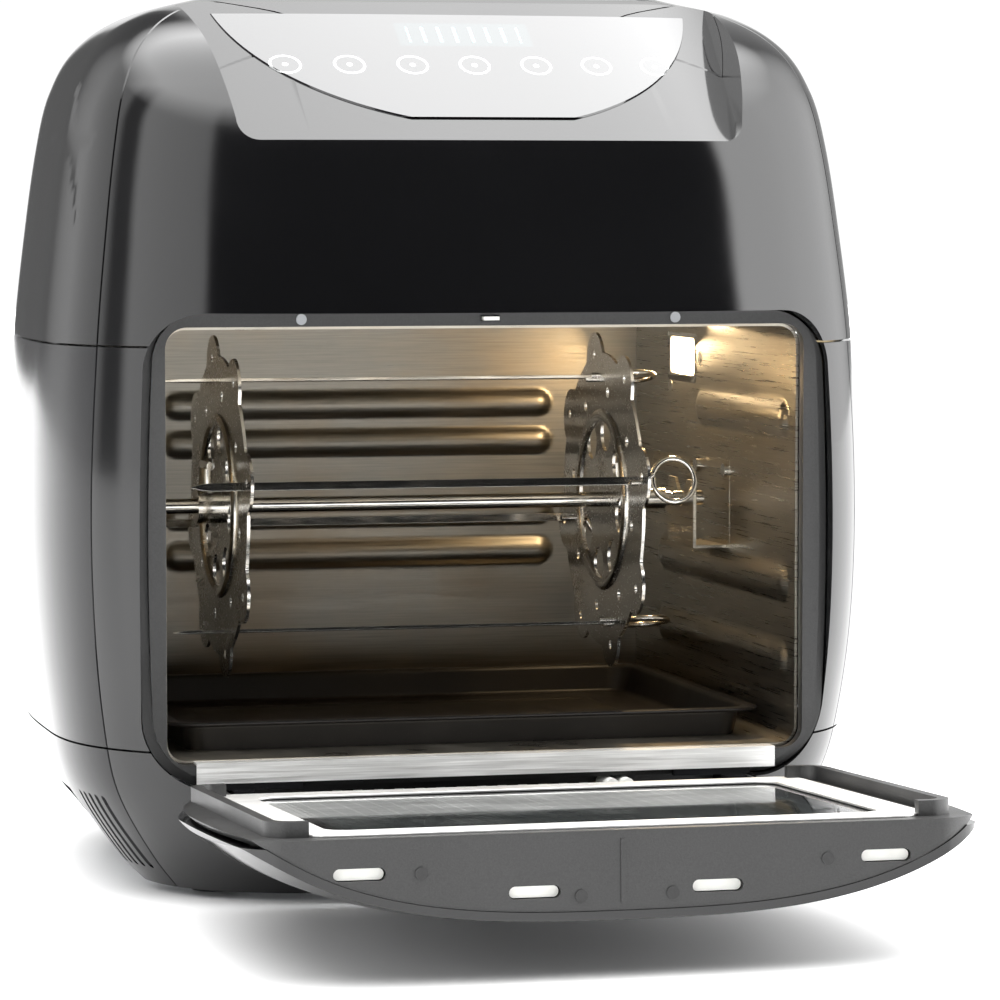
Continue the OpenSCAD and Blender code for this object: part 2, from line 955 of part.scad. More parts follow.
module door_body_solid(inset) {
    casing_solid(opening_low - 1, opening_high + 1, 8, inset);
}
module door_slab(grow, y1) {
    upright(-big / 2, y1)
        opening_outline(grow - door_gap);
}
module window_prism(grow = 0) {
    upright(-big / 2, 0)
        rounded_rect(
            -window_half - grow, window_low - grow, window_half + grow, window_high + grow, 14 + grow
        );
}
module door_outer_shell() {
    color("#17181a")
        swung_open()
            difference() {
                intersection() {
                    door_body_solid(0);
                    door_slab(0, door_inner_y - 3);
                }
                intersection() {
                    door_body_solid(wall);
                    door_slab(2, 100);
                }
                window_prism();
            }
}
module door_outer_glass() {
    color([0.1, 0.1, 0.11, 0.6])
        swung_open()
            difference() {
                intersection() {
                    door_body_solid(0.3);
                    window_prism(-0.4);
                }
                door_body_solid(wall - 0.2);
            }
}
// Rounded slot through the plate along the top edge of the door.
module top_slot(x, y) {
    block([x - 6.8, y - 2.2, 200], [x + 6.8, y + 2.2, 230]);
    for (end = [x - 6.8, x + 6.8])
        z_rod(200, 230, end, y, 2.2);
}
module door_inner_cover() {
    color("#2b2c2c")
        swung_open()
            difference() {
                union() {
                    intersection() {
                        door_body_solid(wall + 0.2);
                        difference() {
                            door_slab(-cover_gap, door_inner_y);
                            door_slab(-cover_gap - cover_t, door_inner_y - cover_t);
                        }
                    }
                    for (side = [-1, 1])
                        block([side * 119 - 2, door_inner_y - 1, 62], [side * 119 + 2, door_inner_y + lip_height, 208]);
                }
                upright(-big / 2, 0)
                    rounded_rect(
                        -window_half - 3, window_low - 3, window_half + 3, window_high + 3, 8.6
                    );
                for (side = [-1, 1])
                    block([side * arm_x - 3.6, -100, 40], [side * arm_x + 3.6, door_inner_y + 1, 50]);
                for (x = [-92, -32, 32, 92])
                    top_slot(x, -80.3 + abs(x) / 7.5);
                for (p = door_screw_places)
                    z_rod(200, 230, p[0], p[1], 1.4);
            }
}
module door_trim_frame() {
    color("#c4c5c2")
        swung_open()
            difference() {
                upright(door_inner_y, door_inner_y + 1)
                    rounded_rect(-112, 56, 112, 212, 10);
                upright(door_inner_y - 5, door_inner_y + 5)
                    rounded_rect(-98, 70, 98, 198, 8);
            }
}
module door_inner_glass() {
    color([0.12, 0.14, 0.14, 0.7])
        swung_open()
            upright(door_inner_y - 3.4, door_inner_y - 0.2)
                rounded_rect(-98.4, 69.6, 98.4, 198.4, 8);
}
module door_hinge_arms() {
    color("#9b9c9c")
        swung_open()
            for (side = [-1, 1])
                difference() {
                    union() {
                        x_rod(side * arm_x - 3, side * arm_x + 3, hinge_y, hinge_z, 5);
                        block([side * arm_x - 3, hinge_y - 3, hinge_z], [side * arm_x + 3, hinge_y + 3, 66]);
                    }
                    x_rod(side * arm_x - 4, side * arm_x + 4, hinge_y, hinge_z, hinge_pin_r);
                }
}
module door_hinge_pins() {
    color("#c8c8c6")
        for (side = [-1, 1])
            x_rod(
                side > 0 ? arm_x - 4 : -lug_x - 5, side > 0 ? lug_x + 5 : -arm_x + 4,
                hinge_y, hinge_z, hinge_pin_r
            );
}
// Soft buttons that the shut door rests against.
module door_bumpers() {
    color("#e6e6e2")
        for (x = [47, 53])
            y_rod(-58, -43.6, x, bumper_z, 2.6);
}
module door_screws() {
    color("#8f908f")
        swung_open()
            for (p = door_screw_places)
                union() {
                    z_rod(door_top_z, door_top_z + 0.5, p[0], p[1], 2.2);
                    z_rod(door_top_z - 5, door_top_z, p[0], p[1], 1.4);
                }
}

// ---- Door switch ----

module door_switch() {
    color("#222326")
        difference() {
            block([-switch_half, frame_y + 5.5, band_z - 1.3], [switch_half, frame_y + 19, band_z + 12]);
            block([-3.4, frame_y + 5, band_z - 1.1], [3.4, frame_y + 16, band_z + 1.1]);
        }
}
module switch_plunger() {
    color("#d9d9d4")
        block([-3, frame_y - plunger_out, band_z - 0.7], [3, frame_y + 12, band_z + 0.7]);
}

// ---- Electrics and rear ----

module control_board() {
    color("#2f6b3f")
        union() {
            block([-62, -20, 262], [62, -18.4, 300]);
            for (x = [-50, 50])
                block([x - 4, -20, cavity_high + 33.2], [x + 4, -18.4, 262.5]);
            for (x = [-40, 0, 40])
                block([x - 9, -18.4, 270], [x + 9, -12, 286]);
        }
}
module power_board() {
    color("#8a6a3a")
        union() {
            block([-60, 184, 90], [40, 185.6, 140]);
            for (x = [-45, -15])
                block([x - 10, 185.6, 100], [x + 10, 206, 126]);
            x_rod(5, 33, 196, 116, 9);
            for (x = [-54, 34], z = [96, 134])
                y_rod(cavity_back + sheet, 184.5, x, z, 3);
        }
}
module exhaust_grille() {
    color("#2a2b2c")
        difference() {
            block([-55.5, 226, grille_low + 0.5], [55.5, 229, grille_high - 0.5]);
            for (z = [grille_low + 6:8:grille_high - 6])
                block([-50, 220, z - 2], [50, 235, z + 2]);
        }
}
module cord_gland() {
    color("#1a1a1b")
        difference() {
            union() {
                y_rod(216, 238, gland_x, gland_z, 8.5);
                difference() {
                    y_rod(224, 238, gland_x, gland_z, 11);
                    casing_solid(gland_z - 14, gland_z + 14, 4);
                }
            }
            y_rod(214, 246, gland_x, gland_z, gland_bore_r);
        }
}
module casing_screws() {
    color("#9d9e9e")
        for (x = [-plate_screw_x, plate_screw_x], y = [20, 170])
            union() {
                z_rod(floor_z - 2, floor_z, x, y, 3.4);
                z_rod(floor_z, floor_z + 6, x, y, 1.8);
            }
}

hood_front();
hood_cover();
left_column();
right_column();
left_side_panel();
right_side_panel();
back_panel();
base_front();
base_rear();
bottom_plate();
front_feet();
rear_feet();
rear_spacers();
display_glass();
opening_frame();
frame_screws();
sill_plate();
hinge_trough();
left_hinge_block();
right_hinge_block();
cavity_liner();
element_guard();
heating_element();
air_shield();
convection_fan();
fan_shaft();
cooling_fan();
fan_motor();
motor_bracket();
lamp_window();
lamp_holder();
lamp_bulb();
lamp_screws();
spit_motor();
drive_socket();
spit_bracket();
bracket_screws();
spit_rod();
left_spit_disc();
right_spit_disc();
skewers();
spit_collars();
drip_tray();
door_outer_shell();
door_outer_glass();
door_inner_cover();
door_trim_frame();
door_inner_glass();
door_hinge_arms();
door_hinge_pins();
door_bumpers();
door_screws();
door_switch();
switch_plunger();
control_board();
power_board();
exhaust_grille();
cord_gland();
casing_screws();
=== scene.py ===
"""Finish of a countertop rotisserie oven: smooth casing, steel cooking space, spit, tray and door."""

import json
import math

import bmesh
import bpy
import numpy as np
from mathutils import Matrix, Vector


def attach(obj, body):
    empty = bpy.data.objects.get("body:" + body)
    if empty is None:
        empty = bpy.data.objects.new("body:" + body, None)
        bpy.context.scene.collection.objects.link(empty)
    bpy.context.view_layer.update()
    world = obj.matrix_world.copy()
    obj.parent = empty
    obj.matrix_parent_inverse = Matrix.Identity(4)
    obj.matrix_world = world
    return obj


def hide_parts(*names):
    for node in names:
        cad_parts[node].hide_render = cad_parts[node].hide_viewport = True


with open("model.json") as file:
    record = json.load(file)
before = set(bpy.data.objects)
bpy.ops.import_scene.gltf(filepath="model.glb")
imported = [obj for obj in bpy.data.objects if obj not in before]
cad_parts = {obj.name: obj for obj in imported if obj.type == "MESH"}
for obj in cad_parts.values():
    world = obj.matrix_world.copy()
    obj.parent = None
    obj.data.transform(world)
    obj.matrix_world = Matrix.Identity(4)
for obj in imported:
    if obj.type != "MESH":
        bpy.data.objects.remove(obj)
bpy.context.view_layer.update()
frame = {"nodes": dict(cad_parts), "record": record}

bl_info = {
    "name": "Rotisserie Oven",
    "version": (1, 0, 0),
    "blender": (4, 5, 0),
    "location": "3D View > Sidebar > Oven",
    "description": "Builds the finished casing, cooking space, spit, tray and door of a rotisserie oven",
    "category": "Object",
}

# ---- Sizes, in millimetres ----

MM = 0.001
BIG = 600.0
# Height, half width, front and rear of the casing.
STATIONS = np.array([
    (0, 120, -50, 205), (15, 133, -60, 216), (39, 148.5, -74, 229), (58, 154.5, -81, 234),
    (100, 160, -88.5, 239), (150, 161.5, -90, 240), (208, 158.5, -87.5, 238), (250, 154, -81, 234),
    (285, 149, -73, 228), (305, 144, -63, 222), (322, 134, -44, 210), (334, 116, -12, 190),
    (341, 88, 22, 165),
], float)
TOP_Z = 341.0
CENTRE_Y = 30.0
CORNER_POWER = 2.9
LOW_SEAM = 58.5
HIGH_SEAM = 208.5
BACK_SEAM = 200.0
SEAM_SHARE = 0.59
LEG_LOW = 3.0
ARCH_Z = 13.0
SIDE_ARCH_Z, ARCH_FRONT, ARCH_BACK, POCKET_HALF = 37.0, 9.0, 127.0, 126.0
CREASE_Z = 284.0
PANEL_SLOPE = math.radians(34)
PANEL_HALF = 96.0
OPENING_HALF, OPENING_LOW, OPENING_HIGH = 133.6, 44.0, 221.0
OPENING_BULGE, OPENING_TOP_R, OPENING_LOW_R = 3.0, 22.0, 28.0
FRAME_Y = -55.0
CAVITY_HALF, CAVITY_LOW, CAVITY_HIGH, CAVITY_BACK = 123.0, 53.5, 215.5, 172.0
LINER_R = 8.0
HINGE = Vector((0, -62, 38))
TROUGH_R, TROUGH_HALF = 19.5, 102.0
DOOR_SWING = math.radians(87.7)
DOOR_INNER_Y = -56.0
DOOR_GAP = 1.6
SPIT_Y, SPIT_Z = 58.0, 142.0
DISC_R = 68.0
LEFT_DISC_X, RIGHT_DISC_X = -82.0, 75.0
SKEWER_R = 50.0
SKEWER_START = 168.0
LAMP_Y, LAMP_Z = 103.0, 198.0
FAN_Y = 62.0
GUARD_HOLE_R = 82.0
DEFAULT_SIDES = 256
# Walls, seams and the five slanting vents behind the seam of the base.
WALL = 3.0
SEAM_HALF = 0.4
VENT_COUNT, VENT_PITCH, VENT_Y, VENT_Z = 5, 5.2, -18.3, 24.5
VENT_HALF_WIDTH, VENT_HALF_LENGTH, VENT_LEAN = 1.2, 14.5, math.radians(9.8)
REAR_SLOT_PITCH, REAR_SLOT_LOW, REAR_SLOT_HIGH = 12, 262, 290
PANEL_GLASS_R = 96
# Door: window, far end, hinge arms.
WINDOW_HALF, WINDOW_LOW, WINDOW_HIGH, WINDOW_R = 96, 72, 196, 14
COVER_INSET, COVER_WALL, LIP_RISE = 0.6, 2.2, 5.4
END_SLOT_X = (-92, -32, 32, 92)
END_SLOT_HALF, END_SLOT_RISE = 9, 2.2
END_SCREWS = ((-71, -68.3), (-16, -77.8), (16, -77.8), (71, -68.3))
ARM_X, ARM_ROOM = 86, 3.6
TRIM_HALF, TRIM_LOW, TRIM_HIGH = 112, 56, 212
GLASS_BOX = (-98.4, 69.6, 98.4, 198.4)
# Pressed ribs: height, front end and rear end on the side walls; height on the rear wall.
SIDE_RIBS = ((178, -34, 74), (115, -34, 128), (85, -34, 128))
LAMP_RIB = (150, 92, 140)
BACK_RIBS = (130, 113, 176, 160)
BACK_RIB_HALF_LENGTH = 78
# Tray wall from the inside of the floor to the middle: distance in from the rim, height, corner radius.
TRAY_HALF, TRAY_FRONT, TRAY_BACK = 117, -28, 150
TRAY_STEPS = (
    (9.5, 53.6, 8), (8.4, 54.2, 9), (6.4, 63.0, 10), (5.6, 64.2, 10), (1.2, 64.4, 12), (0.3, 64.8, 12.5),
    (0.0, 65.3, 12.8), (0.4, 65.8, 12.5), (1.2, 66.0, 12), (4.6, 66.0, 10.5), (5.6, 65.6, 10),
    (6.6, 64.4, 9.5), (9.2, 56.4, 8), (10.4, 55.2, 7.5), (12.5, 54.8, 7), (30, 54.8, 6), (31.5, 55.5, 6),
    (33, 55.5, 6), (34.5, 54.8, 6), (60, 54.8, 6),
)
# Spit discs and skewers.
DISC_SHEET, PETALS, PETAL_R, ROD_BORE_R = 1.2, 8, 12, 3.02
DISC_WINDOW = (27, 7, 36)
DISC_HOLE = (44, 2.2, 20)
PETAL_HOLE = (DISC_R - 9, 1.8, 20)
BEAD_STEPS = ((31.3, -0.5), (31.7, 0.7), (33.0, 1.6), (35.0, 1.6), (36.3, 0.7), (36.7, -0.5))
SKEWER_HALF_WIDTH, SKEWER_HALF_THICK, HANDLE_R, WIRE_R = 1.6, 0.6, 8.6, 1.15


# ---- Mesh helpers ----

def mesh_object(name, points, faces):
    """A mesh object from points in millimetres."""
    mesh = bpy.data.meshes.new(name)
    mesh.from_pydata([tuple(p * MM) for p in np.asarray(points, float)], [], faces)
    mesh.validate()
    obj = bpy.data.objects.new(name, mesh)
    bpy.context.scene.collection.objects.link(obj)
    return obj


def loft(name, rings):
    """Closed solid through rings that all have the same number of points, anticlockwise from above."""
    rings = [np.asarray(r, float) for r in rings]
    n, rows = len(rings[0]), len(rings)
    faces = [list(range(n - 1, -1, -1)), list(range((rows - 1) * n, rows * n))]
    for r in range(rows - 1):
        a = r * n
        faces += [(a + k, a + (k + 1) % n, a + n + (k + 1) % n, a + n + k) for k in range(n)]
    return mesh_object(name, np.concatenate(rings), faces)


def sheet_grid(name, grid, skip=None):
    """Open sheet from a rows by columns grid of points; skip(centre) leaves a face out."""
    grid = np.asarray(grid, float)
    rows, cols = grid.shape[:2]
    faces = []
    for r in range(rows - 1):
        for c in range(cols - 1):
            middle = (grid[r, c] + grid[r + 1, c + 1]) / 2
            if skip is None or not skip(middle):
                a = r * cols + c
                faces.append((a, a + 1, a + cols + 1, a + cols))
    return mesh_object(name, grid.reshape(-1, 3), faces)


def upright(name, outline, y0, y1):
    """Solid from a front-view outline of (x, z) points, anticlockwise, between two depths."""
    flat = np.array([(p[0], 0, p[1]) for p in outline], float)
    return loft(name, [flat + (0, y1, 0), flat + (0, y0, 0)])


def column_of(name, outline, z0, z1):
    """Solid from a plan outline of (x, y) points, anticlockwise, between two heights."""
    flat = np.array([(p[0], p[1], 0) for p in outline], float)
    return loft(name, [flat + (0, 0, z0), flat + (0, 0, z1)])


def across(name, outline, x0, x1):
    """Solid from a side-view outline of (y, z) points, anticlockwise, between two sides."""
    flat = np.array([(0, p[0], p[1]) for p in outline], float)
    return loft(name, [flat + (x0, 0, 0), flat + (x1, 0, 0)])


def circle(cx, cy, r, sides=48, start=0.0):
    """Points round a circle, anticlockwise."""
    turn = np.linspace(0, 2 * math.pi, sides, endpoint=False) + start
    return [(cx + r * math.cos(a), cy + r * math.sin(a)) for a in turn]


def rounded_rect(x0, z0, x1, z1, r, steps=10):
    """Rectangle with round corners, anticlockwise; r is one radius or four from the lower left round."""
    radii = [r] * 4 if np.isscalar(r) else list(r)
    corners = [(x0, z0, 180), (x1, z0, 270), (x1, z1, 0), (x0, z1, 90)]
    points = []
    for (x, z, start), rad in zip(corners, radii):
        cx = x + rad if start in (180, 90) else x - rad
        cz = z + rad if start in (180, 270) else z - rad
        for k in range(steps + 1):
            a = math.radians(start + 90 * k / steps)
            points.append((cx + rad * math.cos(a), cz + rad * math.sin(a)))
    return points


def turned(outline, cx, cy, angle):
    """Outline turned about its own origin and moved to a place."""
    c, s = math.cos(angle), math.sin(angle)
    return [(cx + u * c - v * s, cy + u * s + v * c) for u, v in outline]


def settle(obj):
    """Applies every modifier of an object."""
    graph = bpy.context.evaluated_depsgraph_get()
    mesh = bpy.data.meshes.new_from_object(obj.evaluated_get(graph))
    old = obj.data
    obj.modifiers.clear()
    obj.data = mesh
    bpy.data.meshes.remove(old)
    return obj


def combine(target, operation, *others):
    """Boolean of a solid with others, which are used up."""
    for other in others:
        step = target.modifiers.new("combine", "BOOLEAN")
        step.operation = operation
        step.solver = "MANIFOLD"
        step.object = other
        settle(target)
        bpy.data.objects.remove(other)
    return target


def round_edges(obj, width, segments=2, angle=40):
    """Rounds the sharp edges of a piece."""
    bevel = obj.modifiers.new("edges", "BEVEL")
    bevel.width = width * MM
    bevel.segments = segments
    bevel.limit_method = "ANGLE"
    bevel.angle_limit = math.radians(angle)
    bevel.use_clamp_overlap = True
    return settle(obj)


def smooth(obj, angle=32):
    """Smooth shading that keeps flat faces flat and edges sharper than an angle."""
    mesh = obj.data
    mesh.polygons.foreach_set("use_smooth", [True] * len(mesh.polygons))
    mesh.set_sharp_from_angle(angle=math.radians(angle))
    obj.modifiers.new("normals", "WEIGHTED_NORMAL").keep_sharp = True
    return settle(obj)


# ---- Casing form ----

def station(z, column):
    """Half width, front or rear of the casing at heights z."""
    s = STATIONS
    z = np.clip(np.asarray(z, float), 0, TOP_Z)
    i = np.clip(np.searchsorted(s[:, 0], z, side="right") - 1, 0, len(s) - 2)
    before = np.clip(np.arange(len(s)) - 1, 0, None)
    after = np.clip(np.arange(len(s)) + 1, None, len(s) - 1)
    slope = (s[after, column] - s[before, column]) / (s[after, 0] - s[before, 0])
    h = s[i + 1, 0] - s[i, 0]
    t = (z - s[i, 0]) / h
    return (
        (2 * t**3 - 3 * t**2 + 1) * s[i, column] + (t**3 - 2 * t**2 + t) * h * slope[i]
        + (3 * t**2 - 2 * t**3) * s[i + 1, column] + (t**3 - t**2) * h * slope[i + 1]
    )


def plan_ring(z, inset=0.0, sides=DEFAULT_SIDES):
    """Casing outline at one height, as points with that height."""
    turn = np.linspace(0, 2 * math.pi, sides, endpoint=False)
    c, s = np.cos(turn), np.sin(turn)
    reach = np.where(s < 0, CENTRE_Y - station(z, 2), station(z, 3) - CENTRE_Y)
    x = (station(z, 1) - inset) * np.sign(c) * np.abs(c) ** (2 / CORNER_POWER)
    y = CENTRE_Y + (reach - inset) * np.sign(s) * np.abs(s) ** (2 / CORNER_POWER)
    return np.stack([x, y, np.full(sides, float(z))], 1)


def rows_between(z0, z1):
    """Heights of the rings between two heights, closer near the top."""
    count = max(2, int((z1 - z0) / 3))
    rows = set(np.linspace(z0, z1, count).tolist())
    if z1 > 300:
        rows |= set(np.linspace(max(z0, 300), z1, 40).tolist())
    return sorted(rows)


def casing_solid(name, z0, z1, inset=0.0):
    """Solid body of the casing between two heights."""
    return loft(name, [plan_ring(z, inset) for z in rows_between(z0, z1)])


def level_of(value, points):
    """Distance from a surface where value is 0, in millimetres, and its outward direction."""
    step = 0.4
    slopes = np.stack([
        (value(points + step * axis) - value(points - step * axis)) / (2 * step) for axis in np.eye(3)
    ], 1)
    length = np.maximum(np.linalg.norm(slopes, axis=1), 1e-9)
    return value(points) / length, slopes / length[:, None]


def casing_level(points, inset=0.0):
    """Distance from the casing's surface and the outward direction there."""
    def value(p):
        half = station(p[:, 2], 1) - inset
        front, rear = CENTRE_Y - station(p[:, 2], 2), station(p[:, 2], 3) - CENTRE_Y
        reach = np.where(p[:, 1] < CENTRE_Y, front, rear) - inset
        across, along = np.abs(p[:, 0]) / half, np.abs(p[:, 1] - CENTRE_Y) / reach
        return (across ** CORNER_POWER + along ** CORNER_POWER) ** (1 / CORNER_POWER) - 1

    return level_of(value, points)


def panel_level(points, inset=0.0):
    """Distance from the sloping control panel and the outward direction there."""
    half = float(station(CREASE_Z, 1))
    reach = CENTRE_Y - float(station(CREASE_Z, 2))

    def value(p):
        y = p[:, 1] - (p[:, 2] - CREASE_Z) / math.tan(PANEL_SLOPE) - inset
        across, along = np.abs(p[:, 0]) / half, np.abs(y - CENTRE_Y) / reach
        return (across ** CORNER_POWER + along ** CORNER_POWER) ** (1 / CORNER_POWER) - 1

    return level_of(value, points)


def true_normals(obj, *levels):
    """Shades the casing's faces with the exact directions of the surface they lie on."""
    smooth(obj, 30)
    mesh = obj.data
    count = len(mesh.loops)
    vertex_of = np.empty(count, np.int32)
    mesh.loops.foreach_get("vertex_index", vertex_of)
    co = np.empty(len(mesh.vertices) * 3)
    mesh.vertices.foreach_get("co", co)
    co = co.reshape(-1, 3) / MM
    face_of = np.repeat(np.arange(len(mesh.polygons)), [p.loop_total for p in mesh.polygons])
    face_normal = np.array([p.normal for p in mesh.polygons])[face_of]
    normals = np.array([c.vector for c in mesh.corner_normals])
    for level, inset, side in levels:
        depth, direction = level(co, inset)
        direction = direction[vertex_of] * side
        near = np.abs(depth[vertex_of]) < 0.35
        along = (direction * face_normal).sum(1) > 0.96
        use = near & along
        normals[use] = direction[use]
    mesh.normals_split_custom_set(normals.tolist())
    mesh.update()
    return obj


def seam_block(shift, z0, z1):
    """Everything in front of the vertical seam, which leans with the casing."""
    rings = []
    for z in rows_between(z0, z1):
        y = CENTRE_Y - SEAM_SHARE * (CENTRE_Y - float(station(z, 2))) + shift
        rings.append([(-BIG / 2, -BIG, z), (BIG / 2, -BIG, z), (BIG / 2, y, z), (-BIG / 2, y, z)])
    return loft("seam", rings)


def box_solid(low, high):
    """Plain block used as a cutter."""
    (x0, y0, z0), (x1, y1, z1) = low, high
    return column_of("block", [(x0, y0), (x1, y0), (x1, y1), (x0, y1)], z0, z1)


def opening_side(z):
    """Half width of the door opening at a height."""
    middle = (OPENING_LOW + OPENING_HIGH) / 2
    return OPENING_HALF - OPENING_BULGE * ((z - middle) / ((OPENING_HIGH - OPENING_LOW) / 2)) ** 2


def opening_outline(grow=0.0, steps=20):
    """Outline of the door opening, grown by an amount, anticlockwise from the bottom."""
    zl, zh = OPENING_LOW + OPENING_LOW_R, OPENING_HIGH - OPENING_TOP_R
    xl, xh = opening_side(zl) - OPENING_LOW_R, opening_side(zh) - OPENING_TOP_R
    rl, rh = OPENING_LOW_R + grow, OPENING_TOP_R + grow
    right = []
    for k in range(steps + 1):
        a = math.radians(-90 + 90 * k / steps)
        right.append((xl + rl * math.cos(a), zl + rl * math.sin(a)))
    for k in range(1, steps):
        z = zl + (zh - zl) * k / steps
        right.append((opening_side(z) + grow, z))
    for k in range(steps + 1):
        a = math.radians(90 * k / steps)
        right.append((xh + rh * math.cos(a), zh + rh * math.sin(a)))
    return right + [(-x, z) for x, z in reversed(right)]


def opening_return(z0, z1, depth=2.4):
    """Wall from the casing's face back to the frame round the cooking space."""
    wall = upright("return", opening_outline(depth), -BIG, FRAME_Y + 5)
    combine(wall, "DIFFERENCE", upright("hole", opening_outline(), -BIG - 1, 0))
    return combine(wall, "INTERSECT", casing_solid("slice", z0, z1))


def panel_block(shift):
    """Prism whose sloping front is the control panel."""
    ring = plan_ring(CREASE_Z)
    rings = []
    for z in (CREASE_Z - 30, CREASE_Z + 130):
        moved = ring.copy()
        moved[:, 1] += shift + (z - CREASE_Z) / math.tan(PANEL_SLOPE)
        moved[:, 2] = z
        rings.append(moved)
    return loft("panel", rings)


def panel_cut(grow=0.0):
    """Space cut in front of the sloping panel."""
    low = CREASE_Z + 0.3 - 6 * grow
    half = PANEL_HALF + grow
    arc = [
        (half - 7 + 8 * math.sin(a), low + 8 - 8 * math.cos(a)) for a in np.linspace(0, math.pi / 2, 9)
    ]
    outline = arc + [(half + 16, 370), (-half - 16, 370)] + [(-x, z) for x, z in reversed(arc)]
    space = box_solid((-BIG / 2, -BIG, CREASE_Z - 29), (BIG / 2, 100, 400))
    combine(space, "DIFFERENCE", panel_block(1.8 * grow))
    return combine(space, "INTERSECT", upright("window", outline, -BIG, 90))


# ---- Shader helpers ----

class Value:
    """Wraps a shader socket so that its maths reads as a plain expression."""

    def __init__(self, finish, socket):
        self.finish = finish
        self.socket = socket

    def maths(self, operation, first, second=None):
        values = [first] if second is None else [first, second]
        return self.finish.node("ShaderNodeMath", {"operation": operation}, values)

    def __add__(self, other):
        return self.maths("ADD", self, other)

    __radd__ = __add__

    def __sub__(self, other):
        return self.maths("SUBTRACT", self, other)

    def __rsub__(self, other):
        return self.maths("SUBTRACT", other, self)

    def __mul__(self, other):
        return self.maths("MULTIPLY", self, other)

    __rmul__ = __mul__

    def __truediv__(self, other):
        return self.maths("DIVIDE", self, other)

    def __lt__(self, other):
        return self.maths("LESS_THAN", self, other)

    def __gt__(self, other):
        return self.maths("GREATER_THAN", self, other)

    def __abs__(self):
        return self.maths("ABSOLUTE", self)

    def power(self, other):
        return self.maths("POWER", self, other)

    def modulo(self, other):
        return self.maths("FLOORED_MODULO", self, other)

    def lower(self, other):
        return self.maths("MINIMUM", self, other)

    def higher(self, other):
        return self.maths("MAXIMUM", self, other)


class Nodes:
    """Shader nodes of one material or of the room."""

    def __init__(self, tree, coordinates):
        self.tree = tree
        tree.nodes.clear()
        self.where = self.node("ShaderNodeTexCoord", {}, {}, coordinates)

    def node(self, kind, settings, sockets, output=0):
        """A node of a type with its settings, then its sockets' values or links; gives one output."""
        node = self.tree.nodes.new(kind)
        for key, value in settings.items():
            if key == "stops":
                ramp = node.color_ramp
                while len(ramp.elements) < len(value):
                    ramp.elements.new(1.0)
                for element, (place, colour) in zip(ramp.elements, value):
                    element.position = place
                    element.color = colour
            else:
                setattr(node, key, value)
        items = sockets.items() if isinstance(sockets, dict) else enumerate(sockets)
        for key, value in items:
            if isinstance(value, Value):
                self.tree.links.new(value.socket, node.inputs[key])
            else:
                node.inputs[key].default_value = value
        return Value(self, node.outputs[output]) if len(node.outputs) else None

    def scaled(self, x, y, z):
        """Place on the surface, stretched along the three axes."""
        return self.node("ShaderNodeVectorMath", {"operation": "MULTIPLY"}, [self.where, (x, y, z)])

    def part(self, axis):
        """One coordinate of the place on the surface, in metres."""
        return self.node("ShaderNodeSeparateXYZ", {}, [self.where], axis)

    def noise(self, scale, detail=3.0, rough=0.5, vector=None):
        """Soft random value about 0.5."""
        return self.node(
            "ShaderNodeTexNoise", {},
            {"Vector": vector or self.where, "Scale": scale, "Detail": detail, "Roughness": rough}, "Fac",
        )

    def cells(self, scale, output="Distance"):
        """Distance to scattered points, or a colour for each."""
        return self.node("ShaderNodeTexVoronoi", {}, {"Vector": self.where, "Scale": scale}, output)

    def spread(self, value, low, high, to_low=0.0, to_high=1.0):
        """Stretches a range of values to another range."""
        return self.node("ShaderNodeMapRange", {"clamp": True}, [value, low, high, to_low, to_high])

    def blend(self, amount, first, second):
        """Mixes two colours."""
        return self.node("ShaderNodeMix", {"data_type": "RGBA"}, {0: amount, 6: first, 7: second}, 2)

    def bump(self, height, strength, distance):
        """Surface relief from a height."""
        sockets = {"Height": height, "Strength": strength, "Distance": distance * MM}
        return self.node("ShaderNodeBump", {}, sockets, "Normal")


class Finish(Nodes):
    """One procedural material."""

    def __init__(self, name):
        self.material = bpy.data.materials.new(name)
        self.material.use_nodes = True
        super().__init__(self.material.node_tree, "Object")

    def surface(self, **sockets):
        """Closes the material with its one surface shader."""
        named = {key.replace("_", " "): value for key, value in sockets.items()}
        shader = self.node("ShaderNodeBsdfPrincipled", {}, named)
        self.node("ShaderNodeOutputMaterial", {}, {"Surface": shader})
        return self.material


def rgb(r, g, b):
    """Colour with full cover."""
    return (r, g, b, 1.0)


def tone_of(colour, share=1.0):
    """A colour made darker or lighter."""
    return rgb(*[min(1, c * share) for c in colour])


# ---- Finishes ----

def gloss_plastic(name, colour, rough=0.07, ior=1.5):
    """Polished moulded plastic with a faint ripple, dust specks and rubbed patches."""
    f = Finish(name)
    patches = f.noise(14, 4)
    dust = f.spread(f.cells(900), 0.0, 0.05, 1.0, 0.0) * f.spread(f.noise(22, 2), 0.5, 0.62)
    tone = f.blend(patches, tone_of(colour, 0.8), tone_of(colour, 1.25))
    tone = f.blend(dust * 0.25, tone, rgb(0.3, 0.3, 0.3))
    return f.surface(
        Base_Color=tone,
        Roughness=f.spread(patches, 0.3, 0.75, rough, rough * 1.9) + dust * 0.2,
        IOR=ior,
        Normal=f.bump(f.noise(55, 2) + f.noise(8, 1) * 2, 0.05, 0.5),
    )


def spark_plastic(name, colour, rough=0.52, grain=1500.0):
    """Matt moulded plastic with a fine spark-eroded grain."""
    f = Finish(name)
    fine = f.noise(grain, 2, 0.7)
    broad = f.noise(18, 3)
    return f.surface(
        Base_Color=f.blend(
            f.spread(fine, 0.3, 0.7) * 0.6 + broad * 0.4,
            tone_of(colour, 0.65), tone_of(colour, 1.5)),
        Roughness=f.spread(broad, 0.3, 0.7, rough - 0.07, rough + 0.09),
        IOR=1.5,
        Normal=f.bump(fine, 0.5, 0.12),
    )


